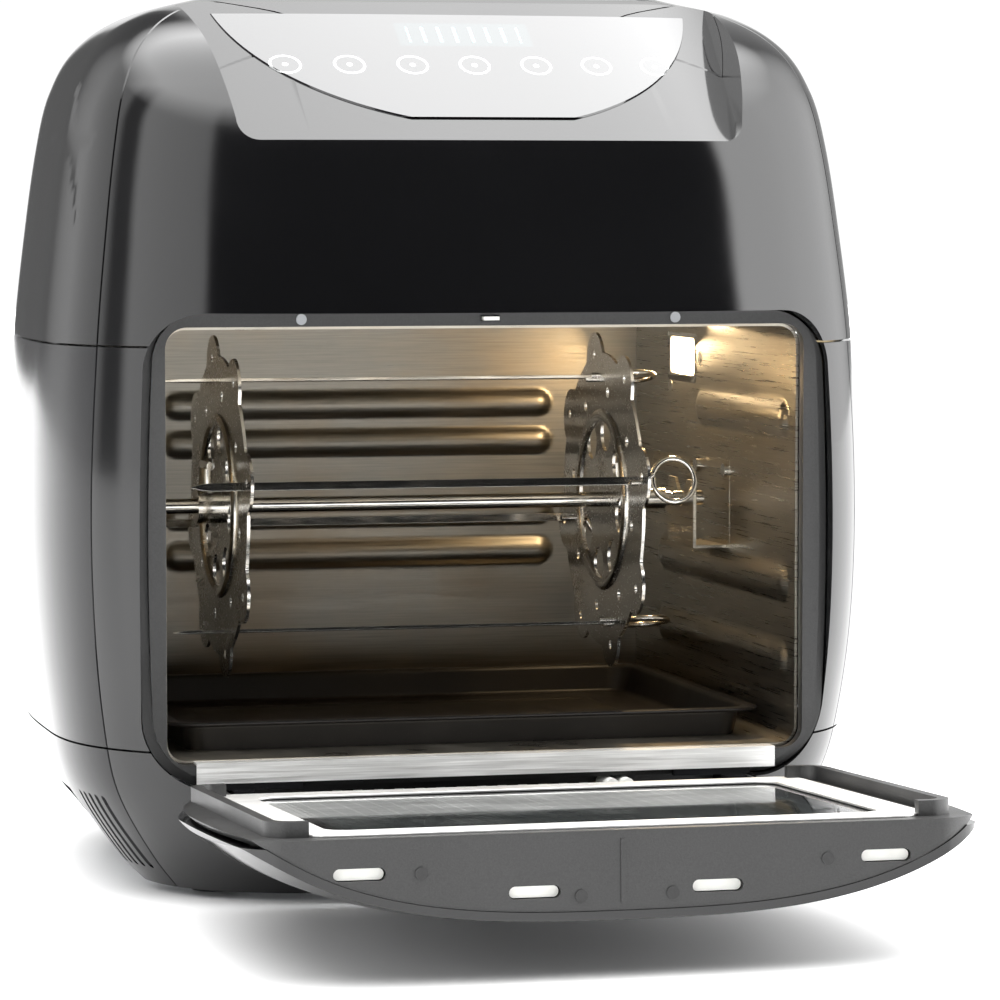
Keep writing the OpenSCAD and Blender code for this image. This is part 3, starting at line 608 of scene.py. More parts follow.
def brushed_steel(name, colour, stretch, tint=0.0, rough=0.27, gap=1.0):
    """Brushed sheet with fine lines, soft stains and heat colours."""
    f = Finish(name)
    lines = f.noise(1.0, 3, 0.65, f.scaled(*stretch))
    stains = f.noise(11, 4, 0.6)
    tone = f.blend(f.spread(lines, 0.3, 0.7), tone_of(colour, 0.8), tone_of(colour, 1.12))
    tone = f.blend(f.spread(stains, 0.45, 0.75) * tint, tone, rgb(0.42, 0.25, 0.08))
    return f.surface(
        Base_Color=tone, Metallic=1.0,
        Roughness=(
            f.spread(lines, 0.25, 0.75, rough * 0.75, rough * 1.3) + f.spread(stains, 0.5, 0.8) * 0.12),
        Normal=f.bump(lines, 0.16 * gap, 0.05),
    )


def bright_steel(name, colour, tint=0.25, rough=0.14):
    """Polished steel with hairline scratches and straw heat marks."""
    f = Finish(name)
    scratches = f.noise(1.0, 2, 0.6, f.scaled(120, 900, 900))
    stains = f.noise(38, 4, 0.65)
    tone = f.blend(f.spread(stains, 0.48, 0.72) * tint, tone_of(colour), rgb(0.5, 0.32, 0.12))
    return f.surface(
        Base_Color=tone, Metallic=1.0,
        Roughness=(
            f.spread(scratches, 0.3, 0.75, rough * 0.7, rough * 1.5) + f.spread(stains, 0.5, 0.8) * 0.1),
        Normal=f.bump(scratches, 0.1, 0.04),
    )


def zinc_sheet(name):
    """Zinc-coated sheet with its crystal flakes."""
    f = Finish(name)
    shade = f.node("ShaderNodeSeparateColor", {}, [f.cells(160.0, "Color")])
    return f.surface(
        Base_Color=f.blend(shade, rgb(0.42, 0.44, 0.46), rgb(0.62, 0.64, 0.66)), Metallic=1.0,
        Roughness=f.spread(shade, 0, 1, 0.3, 0.48), Normal=f.bump(f.noise(300, 2), 0.1, 0.05),
    )


def satin_coating(name):
    """Dark non-stick coating with a fine fleck."""
    f = Finish(name)
    fleck = f.spread(f.cells(520), 0.02, 0.16, 1.0, 0.0)
    haze = f.noise(24, 4)
    return f.surface(
        Base_Color=f.blend(fleck * 0.35, rgb(0.006, 0.005, 0.005), rgb(0.05, 0.045, 0.04)),
        Roughness=f.spread(haze, 0.3, 0.7, 0.34, 0.5), IOR=1.35,
        Normal=f.bump(f.noise(900, 2), 0.25, 0.06),
    )


def cast_or_painted(name, colour, metallic=0.0, rough=0.45):
    """Plain satin finish with a light mottling, used inside the casing."""
    f = Finish(name)
    mottle = f.noise(60, 4)
    return f.surface(
        Base_Color=f.blend(mottle, tone_of(colour, 0.75), tone_of(colour, 1.2)),
        Metallic=metallic, Roughness=f.spread(mottle, 0.3, 0.7, rough - 0.08, rough + 0.1),
        Normal=f.bump(f.noise(700, 2), 0.2, 0.08),
    )


def board_finish(name):
    """Lacquered circuit board with copper tracks and solder pads."""
    f = Finish(name)
    track = abs(f.noise(34, 1) - 0.5) < 0.02
    pad = f.cells(260) < 0.12
    tone = f.blend(track, rgb(0.02, 0.12, 0.05), rgb(0.05, 0.24, 0.1))
    return f.surface(
        Base_Color=f.blend(pad, tone, rgb(0.6, 0.6, 0.55)), Roughness=0.3 + f.noise(50, 2) * 0.1,
        Coat_Weight=0.4, Normal=f.bump(track + pad, 0.3, 0.05),
    )


def lamp_glass(name, strength):
    """Ribbed heat-proof glass, lit from behind."""
    f = Finish(name)
    ribs = abs((f.part(1) * 400.0).modulo(1.0) - 0.5)
    glow = f.blend(f.spread(ribs, 0.0, 0.5), rgb(1.0, 0.72, 0.36), rgb(1.0, 0.86, 0.58))
    return f.surface(
        Base_Color=rgb(1.0, 0.94, 0.8), Roughness=0.12 + ribs * 0.1, Emission_Color=glow,
        Emission_Strength=strength, Normal=f.bump(ribs, 0.4, 0.4),
    )


def door_glass(name, low, high, edge, cover):
    """Tinted tempered glass with a printed border that fades into dots, and a painted reflection of a grid
    in fine grey lines.
    """
    f = Finish(name)
    (x0, y0), (x1, y1) = low, high
    x, y = f.part(0), f.part(1)
    inside = (x - x0 * MM).lower(x1 * MM - x).lower((y - y0 * MM).lower(y1 * MM - y)) / MM
    u, v = (x * 400.0).modulo(1.0) - 0.5, (y * 400.0).modulo(1.0) - 0.5
    dot = (u * u + v * v) < f.spread(inside, edge, edge + 7.0, 0.3, 0.0)
    border = (inside < edge).higher(dot * (inside < edge + 7.0))
    # Fine grey grid lines: painted reflection of a grid on the glass.
    painted_grid_reflection = (abs((x * 160.0).modulo(1.0) - 0.5) < 0.05).higher(abs((y * 160.0).modulo(1.0) - 0.5) < 0.05)
    smear = f.noise(26, 5, 0.65)
    tone = f.blend(painted_grid_reflection * 0.5, rgb(0.016, 0.02, 0.02), rgb(0.12, 0.14, 0.14))
    tone = f.blend(border, tone, rgb(0.01, 0.01, 0.01))
    return f.surface(
        Base_Color=tone, Roughness=f.spread(smear, 0.45, 0.75, 0.04, 0.16),
        Alpha=border.higher(cover + painted_grid_reflection * 0.2), Coat_Weight=0.6, Coat_Roughness=0.03,
        IOR=1.52, Normal=f.bump(f.noise(9, 1), 0.03, 0.5),
    )


def panel_print(name):
    """Black touch glass with a row of plain ring-shaped keys and a dim display bar."""
    f = Finish(name)
    x, z = f.part(0) * 1000.0, f.part(2) * 1000.0
    u = (x + 84.0).modulo(24.0) - 12.0
    low_row = (z - 313.0) * 1.7
    across_key = (u * u + low_row * low_row).power(0.5)
    keys = (abs(across_key - 5.6) < 0.45) * (abs(x) < 83.0)
    centre = (across_key < 1.1) * (abs(x) < 83.0)
    display = (abs(x) < 26.0) * (abs(z - 325.0) < 4.5)
    segments = (abs((x * 0.16).modulo(1.0) - 0.5) < 0.1) * (abs(x) < 22.0) * (abs(z - 325.0) < 3.0)
    tone = f.blend(keys.higher(centre), rgb(0.006, 0.006, 0.007), rgb(0.55, 0.56, 0.56))
    tone = f.blend(display, tone, rgb(0.012, 0.02, 0.022))
    return f.surface(
        Base_Color=f.blend(segments, tone, rgb(0.1, 0.4, 0.42)),
        Roughness=f.spread(f.noise(30, 4), 0.4, 0.7, 0.04, 0.12),
        Coat_Weight=0.6, Coat_Roughness=0.02, Normal=f.bump(f.noise(12, 1), 0.02, 0.5),
    )


def make_finishes(look):
    """Every finish of the oven by its material slot, and three that stand in for a slot on some pieces."""
    along_depth, along_width = (30, 30, 1400), (25, 1300, 1300)
    side = tuple(c * 2.5 for c in look.gloss_colour)
    # back is the liner colour at half brightness: painted shade for the rear wall deep in the cooking
    # space.
    liner, back = tuple(look.liner_colour_with_painted_lamp_light), tuple(c * 0.5 for c in look.liner_colour_with_painted_lamp_light)
    spit = tuple(look.spit_colour)
    return {
        "gloss_black": gloss_plastic("gloss_black_plastic", tuple(look.gloss_colour)),
        "gloss_side": gloss_plastic("gloss_side_plastic", side, 0.1, 1.36),
        "matt_black": spark_plastic("matt_black_plastic", tuple(look.matt_colour), 0.4),
        "rubber": spark_plastic("foot_rubber", (0.014, 0.014, 0.014), 0.72, 700.0),
        "panel_glass": panel_print("touch_panel_glass"),
        # The liner's warm tint is painted lamp light; its heat stains are real.
        "stainless": brushed_steel("brushed_liner_steel", liner, along_depth, 0.25, 0.3, 0.3),
        # Near-white copy of the brushed steel: painted light on the sill and the door's trim, which face
        # the light from above.
        "painted_light_sill_steel": brushed_steel("painted_light_trim_steel", (0.9, 0.9, 0.88), along_width, 0.03, 0.5, 0.5),
        "bright_steel": bright_steel("bright_spit_steel", spit),
        "sheet_steel": zinc_sheet("zinc_sheet_steel"),
        "heater_steel": cast_or_painted("heater_sheath", (0.14, 0.11, 0.1), 0.8, 0.42),
        "non_stick": satin_coating("non_stick_coating"),
        "fan_aluminium": brushed_steel("pressed_aluminium", (0.7, 0.7, 0.7), (200, 200, 40), 0.0, 0.34),
        "motor_steel": cast_or_painted("motor_can", (0.3, 0.31, 0.32), 0.9, 0.36),
        "lamp_glass": lamp_glass("lamp_glass", look.lamp_glow),
        "door_glass": door_glass("door_window_glass", (-98.4, -224.0), (98.4, -92.0), 5.0, 0.72),
        "board": board_finish("circuit_board"),
        "white_nylon": cast_or_painted("white_nylon", (0.78, 0.78, 0.74), 0.0, 0.4),
        "front_glass": gloss_plastic("front_glass", (0.004, 0.004, 0.005), 0.03),
        # Half-bright copy of the liner steel: painted shade on the rear wall.
        "painted_shade_back_steel": brushed_steel("brushed_back_steel", back, along_depth, 0.25, 0.36, 0.3),
        "disc_steel": bright_steel("disc_steel", spit, 0.25, 0.2),
    }


SLOT_FINISHES = {}


def finish_piece(obj, slot, body, *nodes, finish=None):
    """Gives a new piece the finish of its slot, or the finish named instead, puts it in its body and hides
    the nodes that it stands for.
    """
    obj.data.materials.clear()
    obj.data.materials.append(SLOT_FINISHES[finish or slot])
    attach(obj, body)
    if nodes:
        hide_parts(*nodes)
    return obj


# ---- Casing ----

OUTSIDE = ((casing_level, 0.0, 1), (panel_level, 0.0, 1), (panel_level, -1.2, 1))


def hollow_slice(name, z0, z1):
    """Open ring of casing wall between two heights."""
    ring = casing_solid(name, z0, z1)
    return combine(ring, "DIFFERENCE", casing_solid("inner", z0 - 1, z1 + 1, WALL))


def hood_shell(name):
    """Hood with the sloping panel set into it."""
    shell = casing_solid(name, HIGH_SEAM + SEAM_HALF, TOP_Z)
    combine(shell, "DIFFERENCE", panel_cut())
    inner = casing_solid("inner", HIGH_SEAM - 1, TOP_Z - WALL, WALL)
    combine(inner, "DIFFERENCE", panel_cut(WALL))
    return combine(shell, "DIFFERENCE", inner)


def opening_hole():
    """Cutter the shape of the door opening."""
    return upright("hole", opening_outline(), -BIG, FRAME_Y + 8)


def front_piece(piece, z0, z1, *extra):
    """Front part of a casing slice with the door opening and its return wall."""
    combine(piece, "INTERSECT", seam_block(-SEAM_HALF, z0 - 2, z1 + 2))
    combine(piece, "DIFFERENCE", opening_hole())
    low, high = max(z0, OPENING_LOW - 4), min(z1, OPENING_HIGH + 4)
    combine(piece, "UNION", opening_return(low, high))
    return combine(piece, "DIFFERENCE", *extra) if extra else piece


def close_shell(piece, *node):
    """Rounds, shades and hands over a casing piece."""
    round_edges(piece, 0.5, 2, 55)
    true_normals(piece, *OUTSIDE)
    slot = "gloss_side" if node[0] in SIDE_NODES else "gloss_black"
    return finish_piece(piece, slot, "casing", *node)


SIDE_NODES = ("left_side_panel", "right_side_panel", "back_panel", "base_rear")


def build_hood():
    front = hood_shell("hood_front_shell")
    close_shell(front_piece(front, HIGH_SEAM + SEAM_HALF, TOP_Z), "hood_front")
    cover = hood_shell("hood_cover_shell")
    combine(cover, "DIFFERENCE", seam_block(SEAM_HALF, HIGH_SEAM - 2, TOP_Z + 2))
    count = 60 // REAR_SLOT_PITCH
    for k in range(-count, count + 1):
        x = REAR_SLOT_PITCH * k
        outline = rounded_rect(x - 3, REAR_SLOT_LOW, x + 3, REAR_SLOT_HIGH, 2.99, 8)
        combine(cover, "DIFFERENCE", upright("slot", outline, 150, 260))
    close_shell(cover, "hood_cover")


def half_ring(name, side):
    """Casing wall between the two seams, on one side."""
    ring = hollow_slice(name + "_shell", LOW_SEAM + SEAM_HALF, HIGH_SEAM - SEAM_HALF)
    low, high = sorted((0, side * BIG / 2))
    return ring, low, high


def build_columns():
    for side, name in ((-1, "left_column"), (1, "right_column")):
        ring, low, high = half_ring(name, side)
        front_piece(ring, LOW_SEAM + SEAM_HALF, HIGH_SEAM - SEAM_HALF)
        combine(ring, "INTERSECT", box_solid((low, -BIG, 0), (high, BIG, 400)))
        close_shell(ring, name)


def build_sides():
    for side, name in ((-1, "left_side_panel"), (1, "right_side_panel")):
        ring, low, high = half_ring(name, side)
        combine(ring, "INTERSECT", box_solid((low, -BIG, 0), (high, BACK_SEAM, 400)))
        combine(ring, "DIFFERENCE", seam_block(SEAM_HALF, LOW_SEAM - 2, HIGH_SEAM + 2))
        close_shell(ring, name)
    back = hollow_slice("back_panel_shell", LOW_SEAM + SEAM_HALF, HIGH_SEAM - SEAM_HALF)
    combine(back, "INTERSECT", box_solid((-BIG / 2, BACK_SEAM + 2 * SEAM_HALF, 0), (BIG / 2, BIG, 400)))
    combine(
        back, "DIFFERENCE",
        upright("grille", rounded_rect(-56, 150, 56, 196, 4), 200, 260),
        upright("gland", circle(70, 84, 9), 200, 260),
        upright("spacer", circle(70, 120, 7), 200, 260),
        upright("spacer", circle(-70, 120, 7), 200, 260),
    )
    close_shell(back, "back_panel")


def base_slice(name):
    """Hollow base with the arches between its legs."""
    top = LOW_SEAM - SEAM_HALF
    ring = hollow_slice(name, LEG_LOW, top)
    front_arch = [(-64, -5), (64, -5), (58, 7), (50, ARCH_Z), (-50, ARCH_Z), (-58, 7)]
    side_arch = [
        (-2, -5), (130, -5), (ARCH_BACK, 20), (ARCH_BACK - 14, SIDE_ARCH_Z), (ARCH_FRONT + 12, SIDE_ARCH_Z),
        (ARCH_FRONT, 26), (ARCH_FRONT, 9),
    ]
    return combine(
        ring, "DIFFERENCE", upright("arch", front_arch, -BIG, BIG), across("arch", side_arch, -BIG, BIG))


def build_base():
    front = base_slice("base_front_shell")
    half = TROUGH_HALF + 0.4
    trough = across("trough", circle(HINGE.y, HINGE.z, TROUGH_R + 2.2, 96), -half, half)
    close_shell(front_piece(front, LEG_LOW, LOW_SEAM - SEAM_HALF, trough), "base_front")
    rear = base_slice("base_rear_shell")
    combine(rear, "DIFFERENCE", seam_block(SEAM_HALF, -2, LOW_SEAM + 2))
    slot = rounded_rect(-VENT_HALF_WIDTH, -VENT_HALF_LENGTH, VENT_HALF_WIDTH, VENT_HALF_LENGTH, 1.15, 8)
    for k in range(VENT_COUNT):
        vent = turned(slot, VENT_PITCH * k + VENT_Y, VENT_Z, VENT_LEAN)
        combine(rear, "DIFFERENCE", across("vent", vent, -BIG, BIG))
    close_shell(rear, "base_rear")
    build_pockets()


def build_pockets():
    """Closed recess between the front and rear leg on each side, in matt black as painted shade."""
    low, high = ARCH_Z + 4.7, SIDE_ARCH_Z + 3
    pocket = casing_solid("leg_pockets", low, high, 0.6)
    combine(
        pocket, "DIFFERENCE",
        box_solid((-BIG, -BIG, 0), (BIG, ARCH_FRONT - 2, 90)),
        box_solid((-BIG, ARCH_BACK + 2, 0), (BIG, BIG, 90)),
        box_solid((-POCKET_HALF, -BIG, 0), (POCKET_HALF, BIG, 90)),
        box_solid((-BIG, ARCH_FRONT, 0), (-POCKET_HALF - 2, ARCH_BACK, SIDE_ARCH_Z + 1)),
        box_solid((POCKET_HALF + 2, ARCH_FRONT, 0), (BIG, ARCH_BACK, SIDE_ARCH_Z + 1)),
    )
    smooth(pocket)
    # Matt black in place of the gloss side plastic: painted shade inside the recess.
    finish_piece(pocket, "gloss_side", "casing", finish="matt_black")


def build_display():
    glass = panel_block(-1.2)
    glass.name = "display_glass_face"
    combine(glass, "DIFFERENCE", panel_block(0.0))
    disc = circle(0, CENTRE_Y, PANEL_GLASS_R, 160)
    combine(glass, "INTERSECT", column_of("round", disc, CREASE_Z + 9, TOP_Z - 8))
    round_edges(glass, 0.3, 2, 55)
    true_normals(glass, *OUTSIDE)
    finish_piece(glass, "panel_glass", "casing", "display_glass")


# ---- Door ----

SWING = (
    Matrix.Translation(HINGE * MM) @ Matrix.Rotation(DOOR_SWING, 4, "X") @ Matrix.Translation(-HINGE * MM)
)


def swing_open(obj):
    """Turns a piece that was drawn shut to the open door's place."""
    obj.data.transform(SWING)
    obj.data.update()
    return obj


def door_body(inset):
    """Casing form over the height of the door."""
    return casing_solid("body", OPENING_LOW - 1, OPENING_HIGH + 1, inset)


def door_slab(grow, y1):
    """Door outline as a solid in front of a depth."""
    return upright("slab", opening_outline(grow - DOOR_GAP), -BIG / 2, y1)


def window_prism(grow, y0=-BIG / 2, y1=0.0):
    """Window outline as a cutter."""
    half = WINDOW_HALF + grow
    outline = rounded_rect(-half, WINDOW_LOW - grow, half, WINDOW_HIGH + grow, WINDOW_R + grow)
    return upright("window", outline, y0, y1)


def lip_outline(side):
    """Raised lip beside the inner glass, with both ends turned inwards."""
    path = [(107, 61.5)]
    path += [(111 + 8 * math.sin(a), 69.5 - 8 * math.cos(a)) for a in np.linspace(0.1, math.pi / 2, 9)]
    path += [(111 + 8 * math.cos(a), 199.5 + 8 * math.sin(a)) for a in np.linspace(0, math.pi / 2 - 0.1, 9)]
    path += [(107, 207.5)]
    points = np.array(path, float)
    along = np.gradient(points, axis=0)
    along /= np.linalg.norm(along, axis=1)[:, None]
    beside = np.stack([along[:, 1], -along[:, 0]], 1)
    outline = np.concatenate([points + 2 * beside, (points - 2 * beside)[::-1]])
    outline[:, 0] *= side
    return outline.tolist() if side > 0 else outline[::-1].tolist()


def build_door_shell():
    shell = door_body(0)
    shell.name = "door_outer_skin"
    combine(shell, "INTERSECT", door_slab(0, DOOR_INNER_Y - 3))
    inner = door_body(WALL)
    combine(inner, "INTERSECT", door_slab(2, 100))
    combine(shell, "DIFFERENCE", inner, window_prism(0))
    round_edges(shell, 0.5, 2, 55)
    true_normals(shell, (casing_level, 0.0, 1))
    finish_piece(swing_open(shell), "gloss_black", "door", "door_outer_shell")
    glass = door_body(0.3)
    glass.name = "door_front_glass"
    combine(glass, "INTERSECT", window_prism(-0.4))
    combine(glass, "DIFFERENCE", door_body(WALL - 0.2))
    true_normals(glass, (casing_level, 0.3, 1), (casing_level, WALL - 0.2, -1))
    finish_piece(swing_open(glass), "door_glass", "door", "door_outer_glass", finish="front_glass")


def build_door_cover():
    cover = door_body(WALL + 0.2)
    cover.name = "door_inner_moulding"
    combine(cover, "INTERSECT", door_slab(-COVER_INSET, DOOR_INNER_Y))
    combine(cover, "DIFFERENCE", door_slab(-COVER_INSET - COVER_WALL, DOOR_INNER_Y - COVER_WALL))
    for side in (-1, 1):
        lip = upright("lip", lip_outline(side), DOOR_INNER_Y - 1, DOOR_INNER_Y + LIP_RISE)
        combine(cover, "UNION", lip)
    rib = upright("rib", [(-2.2, 214), (-0.6, 214), (-0.6, 219.2), (-2.2, 219.2)], -80.5, -59)
    combine(cover, "UNION", rib)
    strips = []
    for k, x in enumerate(END_SLOT_X):
        y = -80.3 + abs(x) / 7.5
        half, rise = END_SLOT_HALF, END_SLOT_RISE
        slot = rounded_rect(x - half, y - rise, x + half, y + rise, rise - 0.01, 8)
        combine(cover, "DIFFERENCE", column_of("slot", slot, 200, 230))
        inner = rounded_rect(x - 8.6, y - 1.9, x + 8.6, y + 1.9, 1.8, 8)
        strips.append(column_of("end_strip_%d" % (k + 1), inner, 215.6, 216.6))
    for x, y in END_SCREWS:
        combine(cover, "DIFFERENCE", column_of("screw", circle(x, y, 1.4, 24), 200, 230))
    for x in (-ARM_X, ARM_X):
        room = box_solid((x - ARM_ROOM, -100, 40), (x + ARM_ROOM, DOOR_INNER_Y + 1, 50))
        combine(cover, "DIFFERENCE", room)
    combine(cover, "DIFFERENCE", window_prism(3))
    room = upright("room", rounded_rect(-98.7, 69.3, 98.7, 198.7, 8.2), DOOR_INNER_Y - 4, DOOR_INNER_Y + 1)
    combine(cover, "DIFFERENCE", room)
    round_edges(cover, 0.7, 3, 45)
    smooth(cover, 35)
    finish_piece(swing_open(cover), "matt_black", "door", "door_inner_cover")
    for strip in strips:
        finish_piece(swing_open(strip), "white_nylon", "door")


def build_door_window():
    half = TRIM_HALF
    low = [p for p in rounded_rect(-half, TRIM_LOW, half, TRIM_HIGH, 9) if p[1] < 130]
    middle = len(low) // 2
    corner = [(half, 201), (110.6, 204), (103.4, 211.2), (100.5, TRIM_HIGH)]
    outline = low[middle:] + corner + [(-x, z) for x, z in reversed(corner)] + low[:middle]
    plate = upright("door_trim_plate", outline, DOOR_INNER_Y, DOOR_INNER_Y + 1)
    combine(plate, "DIFFERENCE", upright("hole", rounded_rect(-98, 70, 98, 198, 8), -100, 0))
    round_edges(plate, 0.35, 3, 45)
    smooth(plate, 35)
    # The trim takes the near-white copy of the steel, as painted light.
    finish_piece(swing_open(plate), "stainless", "door", "door_trim_frame", finish="painted_light_sill_steel")
    glass = upright("door_back_glass", rounded_rect(*GLASS_BOX, 8), DOOR_INNER_Y - 3.4, DOOR_INNER_Y - 0.2)
    round_edges(glass, 0.3, 2, 45)
    smooth(glass, 35)
    finish_piece(swing_open(glass), "door_glass", "door", "door_inner_glass")


# ---- Cooking space ----

def rib_height(a, b, a0, a1, b0, half, rise):
    """Smooth pressed rib along a, at b0, with rounded ends."""
    past = np.maximum(np.maximum(a0 - a, a - a1), 0)
    away = np.sqrt(past ** 2 + (b - b0) ** 2) / half
    return rise * np.clip(1 - away ** 2, 0, 1) ** 0.8


def build_liner():
    ys = sorted(set(np.linspace(FRAME_Y + 6, CAVITY_BACK, 140).tolist() + [LAMP_Y - 19, LAMP_Y + 19]))
    outline = rounded_rect(-CAVITY_HALF, CAVITY_LOW, CAVITY_HALF, CAVITY_HIGH, LINER_R, 8)
    path = []
    for (x0, z0), (x1, z1) in zip(outline, outline[1:] + outline[:1]):
        steps = max(1, int(math.hypot(x1 - x0, z1 - z0) / 1.8))
        path += [(x0 + (x1 - x0) * k / steps, z0 + (z1 - z0) * k / steps) for k in range(steps)]
    path.append(path[0])
    grid = np.array([[(x, y, z) for x, z in path] for y in ys], float)
    y, z = grid[..., 1], grid[..., 2]
    side = np.abs(np.abs(grid[..., 0]) - CAVITY_HALF) < 0.01
    push = np.zeros(y.shape)
    for z0, start, end in SIDE_RIBS:
        push = np.maximum(push, rib_height(y, z, start, end, z0, 6.5, 2.4))
    z0, start, end = LAMP_RIB
    push = np.maximum(push, rib_height(y, z, start, end, z0, 5.2, 1.8))
    grid[..., 0] -= np.sign(grid[..., 0]) * push * side

    def hole(p):
        top = p[2] > CAVITY_HIGH - 0.2 and math.hypot(p[0], p[1] - FAN_Y) < GUARD_HOLE_R
        lamp = p[0] > CAVITY_HALF - 4 and abs(p[1] - LAMP_Y) < 19 and abs(p[2] - LAMP_Z) < 9
        drive = p[0] < -CAVITY_HALF + 4 and math.hypot(p[1] - SPIT_Y, p[2] - SPIT_Z) < 9
        return top or lamp or drive

    tube = sheet_grid("liner_walls", grid, hole)
    xs = np.linspace(-CAVITY_HALF - 0.6, CAVITY_HALF + 0.6, 150)
    zs = np.linspace(CAVITY_LOW - 0.6, CAVITY_HIGH + 0.6, 110)
    back = np.array([[(x, CAVITY_BACK, z) for x in xs] for z in zs], float)
    push = np.zeros(back.shape[:2])
    half = BACK_RIB_HALF_LENGTH
    for z0 in BACK_RIBS:
        push = np.maximum(push, rib_height(back[..., 0], back[..., 2], -half, half, z0, 5.0, 2.6))
    back[..., 1] -= push
    plate = sheet_grid("liner_back", back)
    for piece, thickness in ((tube, -1.1), (plate, -1.0)):
        solid = piece.modifiers.new("sheet", "SOLIDIFY")
        solid.thickness = thickness * MM
        solid.offset = -1.0
        settle(piece)
        smooth(piece, 50)
    finish_piece(tube, "stainless", "casing", "cavity_liner")
    # The rear wall takes the half-bright copy of the liner steel as painted shade.
    finish_piece(plate, "stainless", "casing", finish="painted_shade_back_steel")


def build_tray():
    def ring(inset, z, r):
        half = TRAY_HALF - inset
        outline = rounded_rect(-half, TRAY_FRONT + inset, half, TRAY_BACK - inset, r, 10)
        return [(x, y, z) for x, y in outline]

    tray = loft("drip_tray_pan", [ring(*step) for step in TRAY_STEPS])
    smooth(tray, 40)
    finish_piece(tray, "non_stick", "casing", "drip_tray")


def tube_along(name, points, section):
    """Sweeps a closed section of (side, up) points along a path of points, with closed ends."""
    points = np.asarray(points, float)
    along = np.gradient(points, axis=0)
    along /= np.linalg.norm(along, axis=1)[:, None]
    up = np.array((0.0, 0.0, 1.0)) if abs(along[0][2]) < 0.9 else np.array((0.0, 1.0, 0.0))
    rings = []
    for p, t in zip(points, along):
        side = np.cross(t, up)
        side /= np.linalg.norm(side)
        up = np.cross(side, t)
        rings.append([p + u * side + v * up for u, v in section])
    return loft(name, rings)


def lobed_outline(sides=400):
    """Outline of a spit disc with its eight lobes, as (y, z) about the spit axis."""
    points = []
    for a in np.linspace(0, 2 * math.pi, sides, endpoint=False):
        r = DISC_R - 9
        for k in range(PETALS):
            d = (a - math.radians(45 * k + SKEWER_START) + math.pi) % (2 * math.pi) - math.pi
            offset = (DISC_R - PETAL_R) * math.sin(d)
            if math.cos(d) > 0 and abs(offset) < PETAL_R:
                r = max(r, (DISC_R - PETAL_R) * math.cos(d) + math.sqrt(PETAL_R ** 2 - offset ** 2))
        points.append((SPIT_Y + r * math.cos(a), SPIT_Z + r * math.sin(a)))
    return points


def about_spit(angle, radius):
    """Point at an angle and radius round the spit."""
    a = math.radians(angle)
    return SPIT_Y + radius * math.cos(a), SPIT_Z + radius * math.sin(a)


def build_discs():
    for side, x in (("left", LEFT_DISC_X), ("right", RIGHT_DISC_X)):
        disc = across(side + "_disc_plate", lobed_outline(), x, x + DISC_SHEET)
        cutters = [across("bore", circle(SPIT_Y, SPIT_Z, ROD_BORE_R, 48), x - 5, x + 5)]
        for k in range(PETALS):
            middle = SKEWER_START + 45 * k
            for angle, (radius, r, sides) in (
                (middle + 22.5, DISC_WINDOW), (middle + 22.5, DISC_HOLE), (middle, PETAL_HOLE),
            ):
                cutters.append(across("hole", circle(*about_spit(angle, radius), r, sides), x - 5, x + 5))
        for k in range(4):
            angle = SKEWER_START + 90 * k
            slot = [(-0.9, -1.9), (0.9, -1.9), (0.9, 1.9), (-0.9, 1.9)]
            place = turned(slot, *about_spit(angle, SKEWER_R), math.radians(angle))
            cutters.append(across("slot", place, x - 5, x + 5))
        combine(disc, "DIFFERENCE", *cutters)
        bead = []
        for a in np.linspace(0, 2 * math.pi, 121)[:-1]:
            c, s = math.cos(a), math.sin(a)
            bead.append([(x - h, SPIT_Y + r * c, SPIT_Z + r * s) for r, h in BEAD_STEPS])
        add_ring(disc, bead)
        round_edges(disc, 0.2, 2, 50)
        smooth(disc, 35)
        finish_piece(disc, "bright_steel", "spit", side + "_spit_disc", finish="disc_steel")


def add_ring(target, rings):
    """Joins a closed ring of sections on to a solid."""
    rings = np.asarray(rings, float)
    count, n = rings.shape[:2]
    faces = [
        (r * n + k, ((r + 1) % count) * n + k, ((r + 1) % count) * n + (k + 1) % n, r * n + (k + 1) % n)
        for r in range(count) for k in range(n)
    ]
    ring = mesh_object("ring", rings.reshape(-1, 3), faces)
    shape = bmesh.new()
    shape.from_mesh(ring.data)
    bmesh.ops.recalc_face_normals(shape, faces=shape.faces)
    shape.to_mesh(ring.data)
    shape.free()
    return combine(target, "UNION", ring)


def skewer_handle(end):
    """Path of the bent wire ring at the end of a skewer."""
    centre = RIGHT_DISC_X + 15.6
    start, stop = math.radians(195), math.radians(-160)
    path = [(end - 7, 0.4, 0.9), (end - 2, 0.5, 0.8)]
    for t in np.linspace(start, stop, 44):
        drift = (start - t) / math.radians(355)
        path.append((centre + HANDLE_R * math.cos(t), 0.6 - 1.3 * drift, HANDLE_R * math.sin(t)))
    return path + [(end + 1.0, -0.9, -1.2), (end - 3, -1.0, -0.6), (end - 9, -0.9, -0.6)]


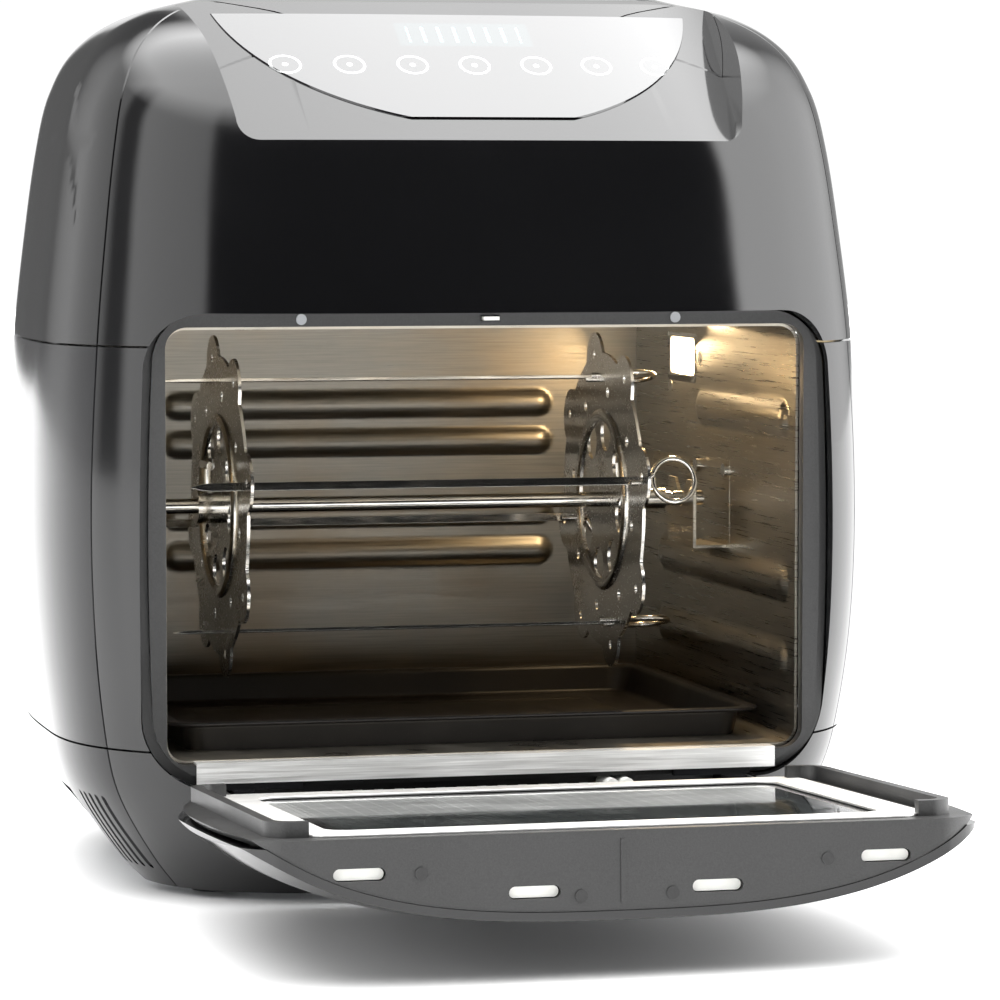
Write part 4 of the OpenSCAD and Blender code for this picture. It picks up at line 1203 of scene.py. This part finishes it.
def build_skewers():
    w, t = SKEWER_HALF_WIDTH, SKEWER_HALF_THICK
    flat = [(-w, -t), (w, -t), (w, t), (-w, t)]
    wire = circle(0, 0, WIRE_R, 12)
    tip, start, end = LEFT_DISC_X - 20, LEFT_DISC_X - 12, RIGHT_DISC_X + 5
    steps = (
        (tip, 0.12, 0.5), (tip + 4, 0.7, 1.0), (start, 1.0, 1.0), (end - 2, 1.0, 1.0), (end, 1.0, 1.0),
    )
    bars = []
    for k in range(4):
        angle = SKEWER_START + 90 * k
        cy, cz = about_spit(angle, SKEWER_R)
        rings = [[(x, v * thick, u * wide) for u, v in flat] for x, wide, thick in steps]
        place = Matrix.Translation(Vector((0, cy, cz)) * MM) @ Matrix.Rotation(math.radians(angle), 4, "X")
        for piece in (loft("bar", rings), tube_along("handle", skewer_handle(end), wire)):
            piece.data.transform(place)
            bars.append(piece)
    whole = join("skewer_set", bars)
    round_edges(whole, 0.18, 2, 60)
    smooth(whole, 45)
    finish_piece(whole, "bright_steel", "spit", "skewers")


def join(name, pieces):
    """One object from several meshes."""
    points, faces = [], []
    for piece in pieces:
        start = len(points)
        points += [tuple(v.co / MM) for v in piece.data.vertices]
        faces += [[start + i for i in face.vertices] for face in piece.data.polygons]
        bpy.data.objects.remove(piece)
    return mesh_object(name, np.array(points), faces)


def build_spit():
    build_discs()
    build_skewers()


def build_lamp():
    outer = rounded_rect(LAMP_Y - 21, LAMP_Z - 11, LAMP_Y + 21, LAMP_Z + 11, 3)
    rim = across("lamp_bezel", outer, CAVITY_HALF - 1.1, CAVITY_HALF + 0.1)
    inner = rounded_rect(LAMP_Y - 17.5, LAMP_Z - 7.6, LAMP_Y + 17.5, LAMP_Z + 7.6, 2)
    combine(rim, "DIFFERENCE", across("hole", inner, 100, 140))
    round_edges(rim, 0.4, 3, 45)
    smooth(rim, 35)
    finish_piece(rim, "bright_steel", "casing")


# ---- Parts kept as they are ----

def finish_nodes(names):
    """Gives each kept node the finish of its slot."""
    slots = {part["node"]: part["material_slot"] for part in frame["record"]["subparts"]}
    for name in names:
        node = frame["nodes"][name]
        node.data.materials.clear()
        node.data.materials.append(SLOT_FINISHES[NODE_FINISHES.get(name, slots[name])])


# The sill takes the near-white copy of the steel, as painted light.
NODE_FINISHES = {
    "sill_plate": "painted_light_sill_steel", "door_screws": "rubber", "frame_screws": "motor_steel",
    "left_hinge_block": "gloss_side", "right_hinge_block": "gloss_side",
}
CASING_NODES = (
    "bottom_plate", "front_feet", "rear_feet", "rear_spacers", "exhaust_grille", "cord_gland",
    "casing_screws",
)
FRONT_NODES = (
    "opening_frame", "frame_screws", "sill_plate", "hinge_trough", "left_hinge_block", "right_hinge_block",
    "door_bumpers", "door_switch", "switch_plunger",
)
INNER_NODES = (
    "element_guard", "heating_element", "air_shield", "convection_fan", "fan_shaft", "cooling_fan",
    "fan_motor", "motor_bracket", "lamp_window", "lamp_holder", "lamp_bulb", "lamp_screws",
    "control_board", "power_board",
)
SPIT_NODES = ("spit_motor", "drive_socket", "spit_bracket", "bracket_screws", "spit_rod", "spit_collars")
DOOR_NODES = ("door_hinge_arms", "door_hinge_pins", "door_screws")


# ---- Stage ----

def build_world(look):
    world = bpy.data.worlds.new("soft_room")
    bpy.context.scene.world = world
    world.use_nodes = True
    room = Nodes(world.node_tree, "Generated")
    azimuth = room.node("ShaderNodeMath", {"operation": "ARCTAN2"}, [room.part(0), 0.0 - room.part(1)])
    share = azimuth / (2 * math.pi) + 0.5
    left, right, full = look.left_light, look.right_light, look.top_light
    wall = (
        (-180, 0.15), (-165, 0.25), (-140, left), (-108, left), (-103, 0.3), (-92, 0.3), (-86, left * 1.9),
        (-45, left * 1.5), (-42, 0.01), (50, 0.01), (53, right), (85, right * 0.8), (120, right * 0.4),
        (140, 0.5), (157, 0.5), (159, 1.05), (174, 1.05), (176, 0.15),
    )
    around = room.node("ShaderNodeValToRGB", {
        "stops": [(turn / 360 + 0.5, rgb(*[level / full] * 3)) for turn, level in wall]}, [share])
    light = room.blend(room.spread(room.part(2), 0.6, 0.8), around, rgb(1, 1, 1))
    shader = room.node("ShaderNodeBackground", {}, {"Color": light, "Strength": full})
    room.node("ShaderNodeOutputWorld", {}, {"Surface": shader})


def build_floor():
    outline = [(-9000, -9000), (9000, -9000), (9000, 9000), (-9000, 9000)]
    floor = mesh_object("floor", [(x, y, 0) for x, y in outline], [(0, 1, 2, 3)])
    f = Finish("pale_floor")
    floor.data.materials.append(f.surface(
        Base_Color=f.blend(f.noise(3, 2), rgb(0.86, 0.86, 0.86), rgb(0.9, 0.9, 0.9)),
        Roughness=0.35 + f.noise(5, 2) * 0.1,
    ))


def add_light(name, place, aim, size, power, colour=(1, 1, 1)):
    data = bpy.data.lights.new(name, "AREA")
    data.shape = "RECTANGLE"
    data.size, data.size_y = size[0] * MM, size[1] * MM
    data.energy = power
    data.color = colour
    light = bpy.data.objects.new(name, data)
    light.location = Vector(place) * MM
    light.rotation_mode = "QUATERNION"
    light.rotation_quaternion = (Vector(aim) - Vector(place)).to_track_quat("-Z", "Y")
    bpy.context.scene.collection.objects.link(light)
    return light


def build_camera():
    data = bpy.data.cameras.new("front_camera")
    data.lens = 163.7
    data.sensor_width = 36.0
    data.clip_start, data.clip_end = 0.05, 50.0
    camera = bpy.data.objects.new("front_camera", data)
    camera.location = (-0.41616, -1.70258, 0.263)
    camera.rotation_euler = (math.radians(90 - 3.799), 0, math.radians(-14.301))
    bpy.context.scene.collection.objects.link(camera)
    bpy.context.scene.camera = camera


# ---- Settings, operators and panel ----

class OvenLook(bpy.types.PropertyGroup):
    gloss_colour: bpy.props.FloatVectorProperty(
        name="Gloss casing", description="Colour of the polished casing", subtype="COLOR",
        default=(0.003, 0.003, 0.0033), min=0, max=1)
    matt_colour: bpy.props.FloatVectorProperty(
        name="Matt mouldings", description="Colour of the grained mouldings", subtype="COLOR",
        default=(0.018, 0.018, 0.018), min=0, max=1)
    # The warm tint of this colour is painted lamp light; the steel itself is grey.
    liner_colour_with_painted_lamp_light: bpy.props.FloatVectorProperty(
        name="Liner steel", description="Colour of the cooking space's steel", subtype="COLOR",
        default=(0.46, 0.43, 0.37), min=0, max=1)
    spit_colour: bpy.props.FloatVectorProperty(
        name="Spit steel", description="Colour of the spit, discs and skewers", subtype="COLOR",
        default=(0.72, 0.70, 0.66), min=0, max=1)
    lamp_glow: bpy.props.FloatProperty(
        name="Lamp glow", description="Brightness of the lamp's window", default=4.0, min=0)
    lamp_power: bpy.props.FloatProperty(
        name="Lamp power", description="Light that the lamp throws into the cooking space", default=0.15,
        min=0, unit="POWER")
    left_light: bpy.props.FloatProperty(
        name="Left light", description="Brightness of the room on the left", default=1.5, min=0)
    right_light: bpy.props.FloatProperty(
        name="Right light", description="Brightness of the room on the right", default=6.0, min=0)
    top_light: bpy.props.FloatProperty(
        name="Top light", description="Brightness of the room overhead", default=6.5, min=0)


class BuildStep:
    """Shared parts of every step that builds pieces."""

    bl_options = {"REGISTER"}

    def execute(self, context):
        self.build(context.scene.oven_look)
        return {"FINISHED"}


class OVEN_OT_finishes(BuildStep, bpy.types.Operator):
    """Make the finishes"""

    bl_idname = "oven.finishes"
    bl_label = "Make finishes"

    def build(self, look):
        SLOT_FINISHES.update(make_finishes(look))


class OVEN_OT_casing(BuildStep, bpy.types.Operator):
    """Build the smooth casing shells"""

    bl_idname = "oven.casing"
    bl_label = "Build casing"

    def build(self, look):
        build_hood()
        build_columns()
        build_sides()
        build_base()
        build_display()
        finish_nodes(CASING_NODES)


class OVEN_OT_front(BuildStep, bpy.types.Operator):
    """Finish the frame, sill and hinge parts"""

    bl_idname = "oven.front"
    bl_label = "Finish the front"

    def build(self, look):
        finish_nodes(FRONT_NODES)


class OVEN_OT_door(BuildStep, bpy.types.Operator):
    """Build the door's skin, moulding, trim and glass"""

    bl_idname = "oven.door"
    bl_label = "Build door"

    def build(self, look):
        build_door_shell()
        build_door_cover()
        build_door_window()
        finish_nodes(DOOR_NODES)


class OVEN_OT_cooking_space(BuildStep, bpy.types.Operator):
    """Build the liner and the lamp's bezel"""

    bl_idname = "oven.cooking_space"
    bl_label = "Build cooking space"

    def build(self, look):
        build_liner()
        build_lamp()
        finish_nodes(INNER_NODES)


class OVEN_OT_tray(BuildStep, bpy.types.Operator):
    """Build the drip tray"""

    bl_idname = "oven.tray"
    bl_label = "Build tray"

    def build(self, look):
        build_tray()


class OVEN_OT_spit(BuildStep, bpy.types.Operator):
    """Build the discs and skewers"""

    bl_idname = "oven.spit"
    bl_label = "Build spit"

    def build(self, look):
        build_spit()
        finish_nodes(SPIT_NODES)


class OVEN_OT_stage(BuildStep, bpy.types.Operator):
    """Set the floor, lights and camera"""

    bl_idname = "oven.stage"
    bl_label = "Set stage"

    def build(self, look):
        bpy.context.scene.view_settings.view_transform = "Standard"
        build_world(look)
        build_floor()
        build_camera()
        place, aim = (120, LAMP_Y, LAMP_Z), (-60, 60, 90)
        add_light("oven_lamp", place, aim, (34, 15), look.lamp_power, (1.0, 0.72, 0.4))


STEPS = (
    OVEN_OT_finishes, OVEN_OT_casing, OVEN_OT_front, OVEN_OT_door, OVEN_OT_cooking_space, OVEN_OT_tray,
    OVEN_OT_spit, OVEN_OT_stage,
)


class OVEN_PT_panel(bpy.types.Panel):
    """Oven settings and steps"""

    bl_idname = "OVEN_PT_panel"
    bl_label = "Rotisserie Oven"
    bl_space_type = "VIEW_3D"
    bl_region_type = "UI"
    bl_category = "Oven"

    def draw(self, context):
        look = context.scene.oven_look
        for name in OvenLook.__annotations__:
            self.layout.prop(look, name)
        for step in STEPS:
            self.layout.operator(step.bl_idname)


CLASSES = (OvenLook, *STEPS, OVEN_PT_panel)


def register():
    for cls in CLASSES:
        bpy.utils.register_class(cls)
    bpy.types.Scene.oven_look = bpy.props.PointerProperty(type=OvenLook)


def unregister():
    del bpy.types.Scene.oven_look
    for cls in reversed(CLASSES):
        bpy.utils.unregister_class(cls)


def main():
    register()
    for step in STEPS:
        family, name = step.bl_idname.split(".")
        getattr(getattr(bpy.ops, family), name)()


if __name__ == "__main__":
    main()
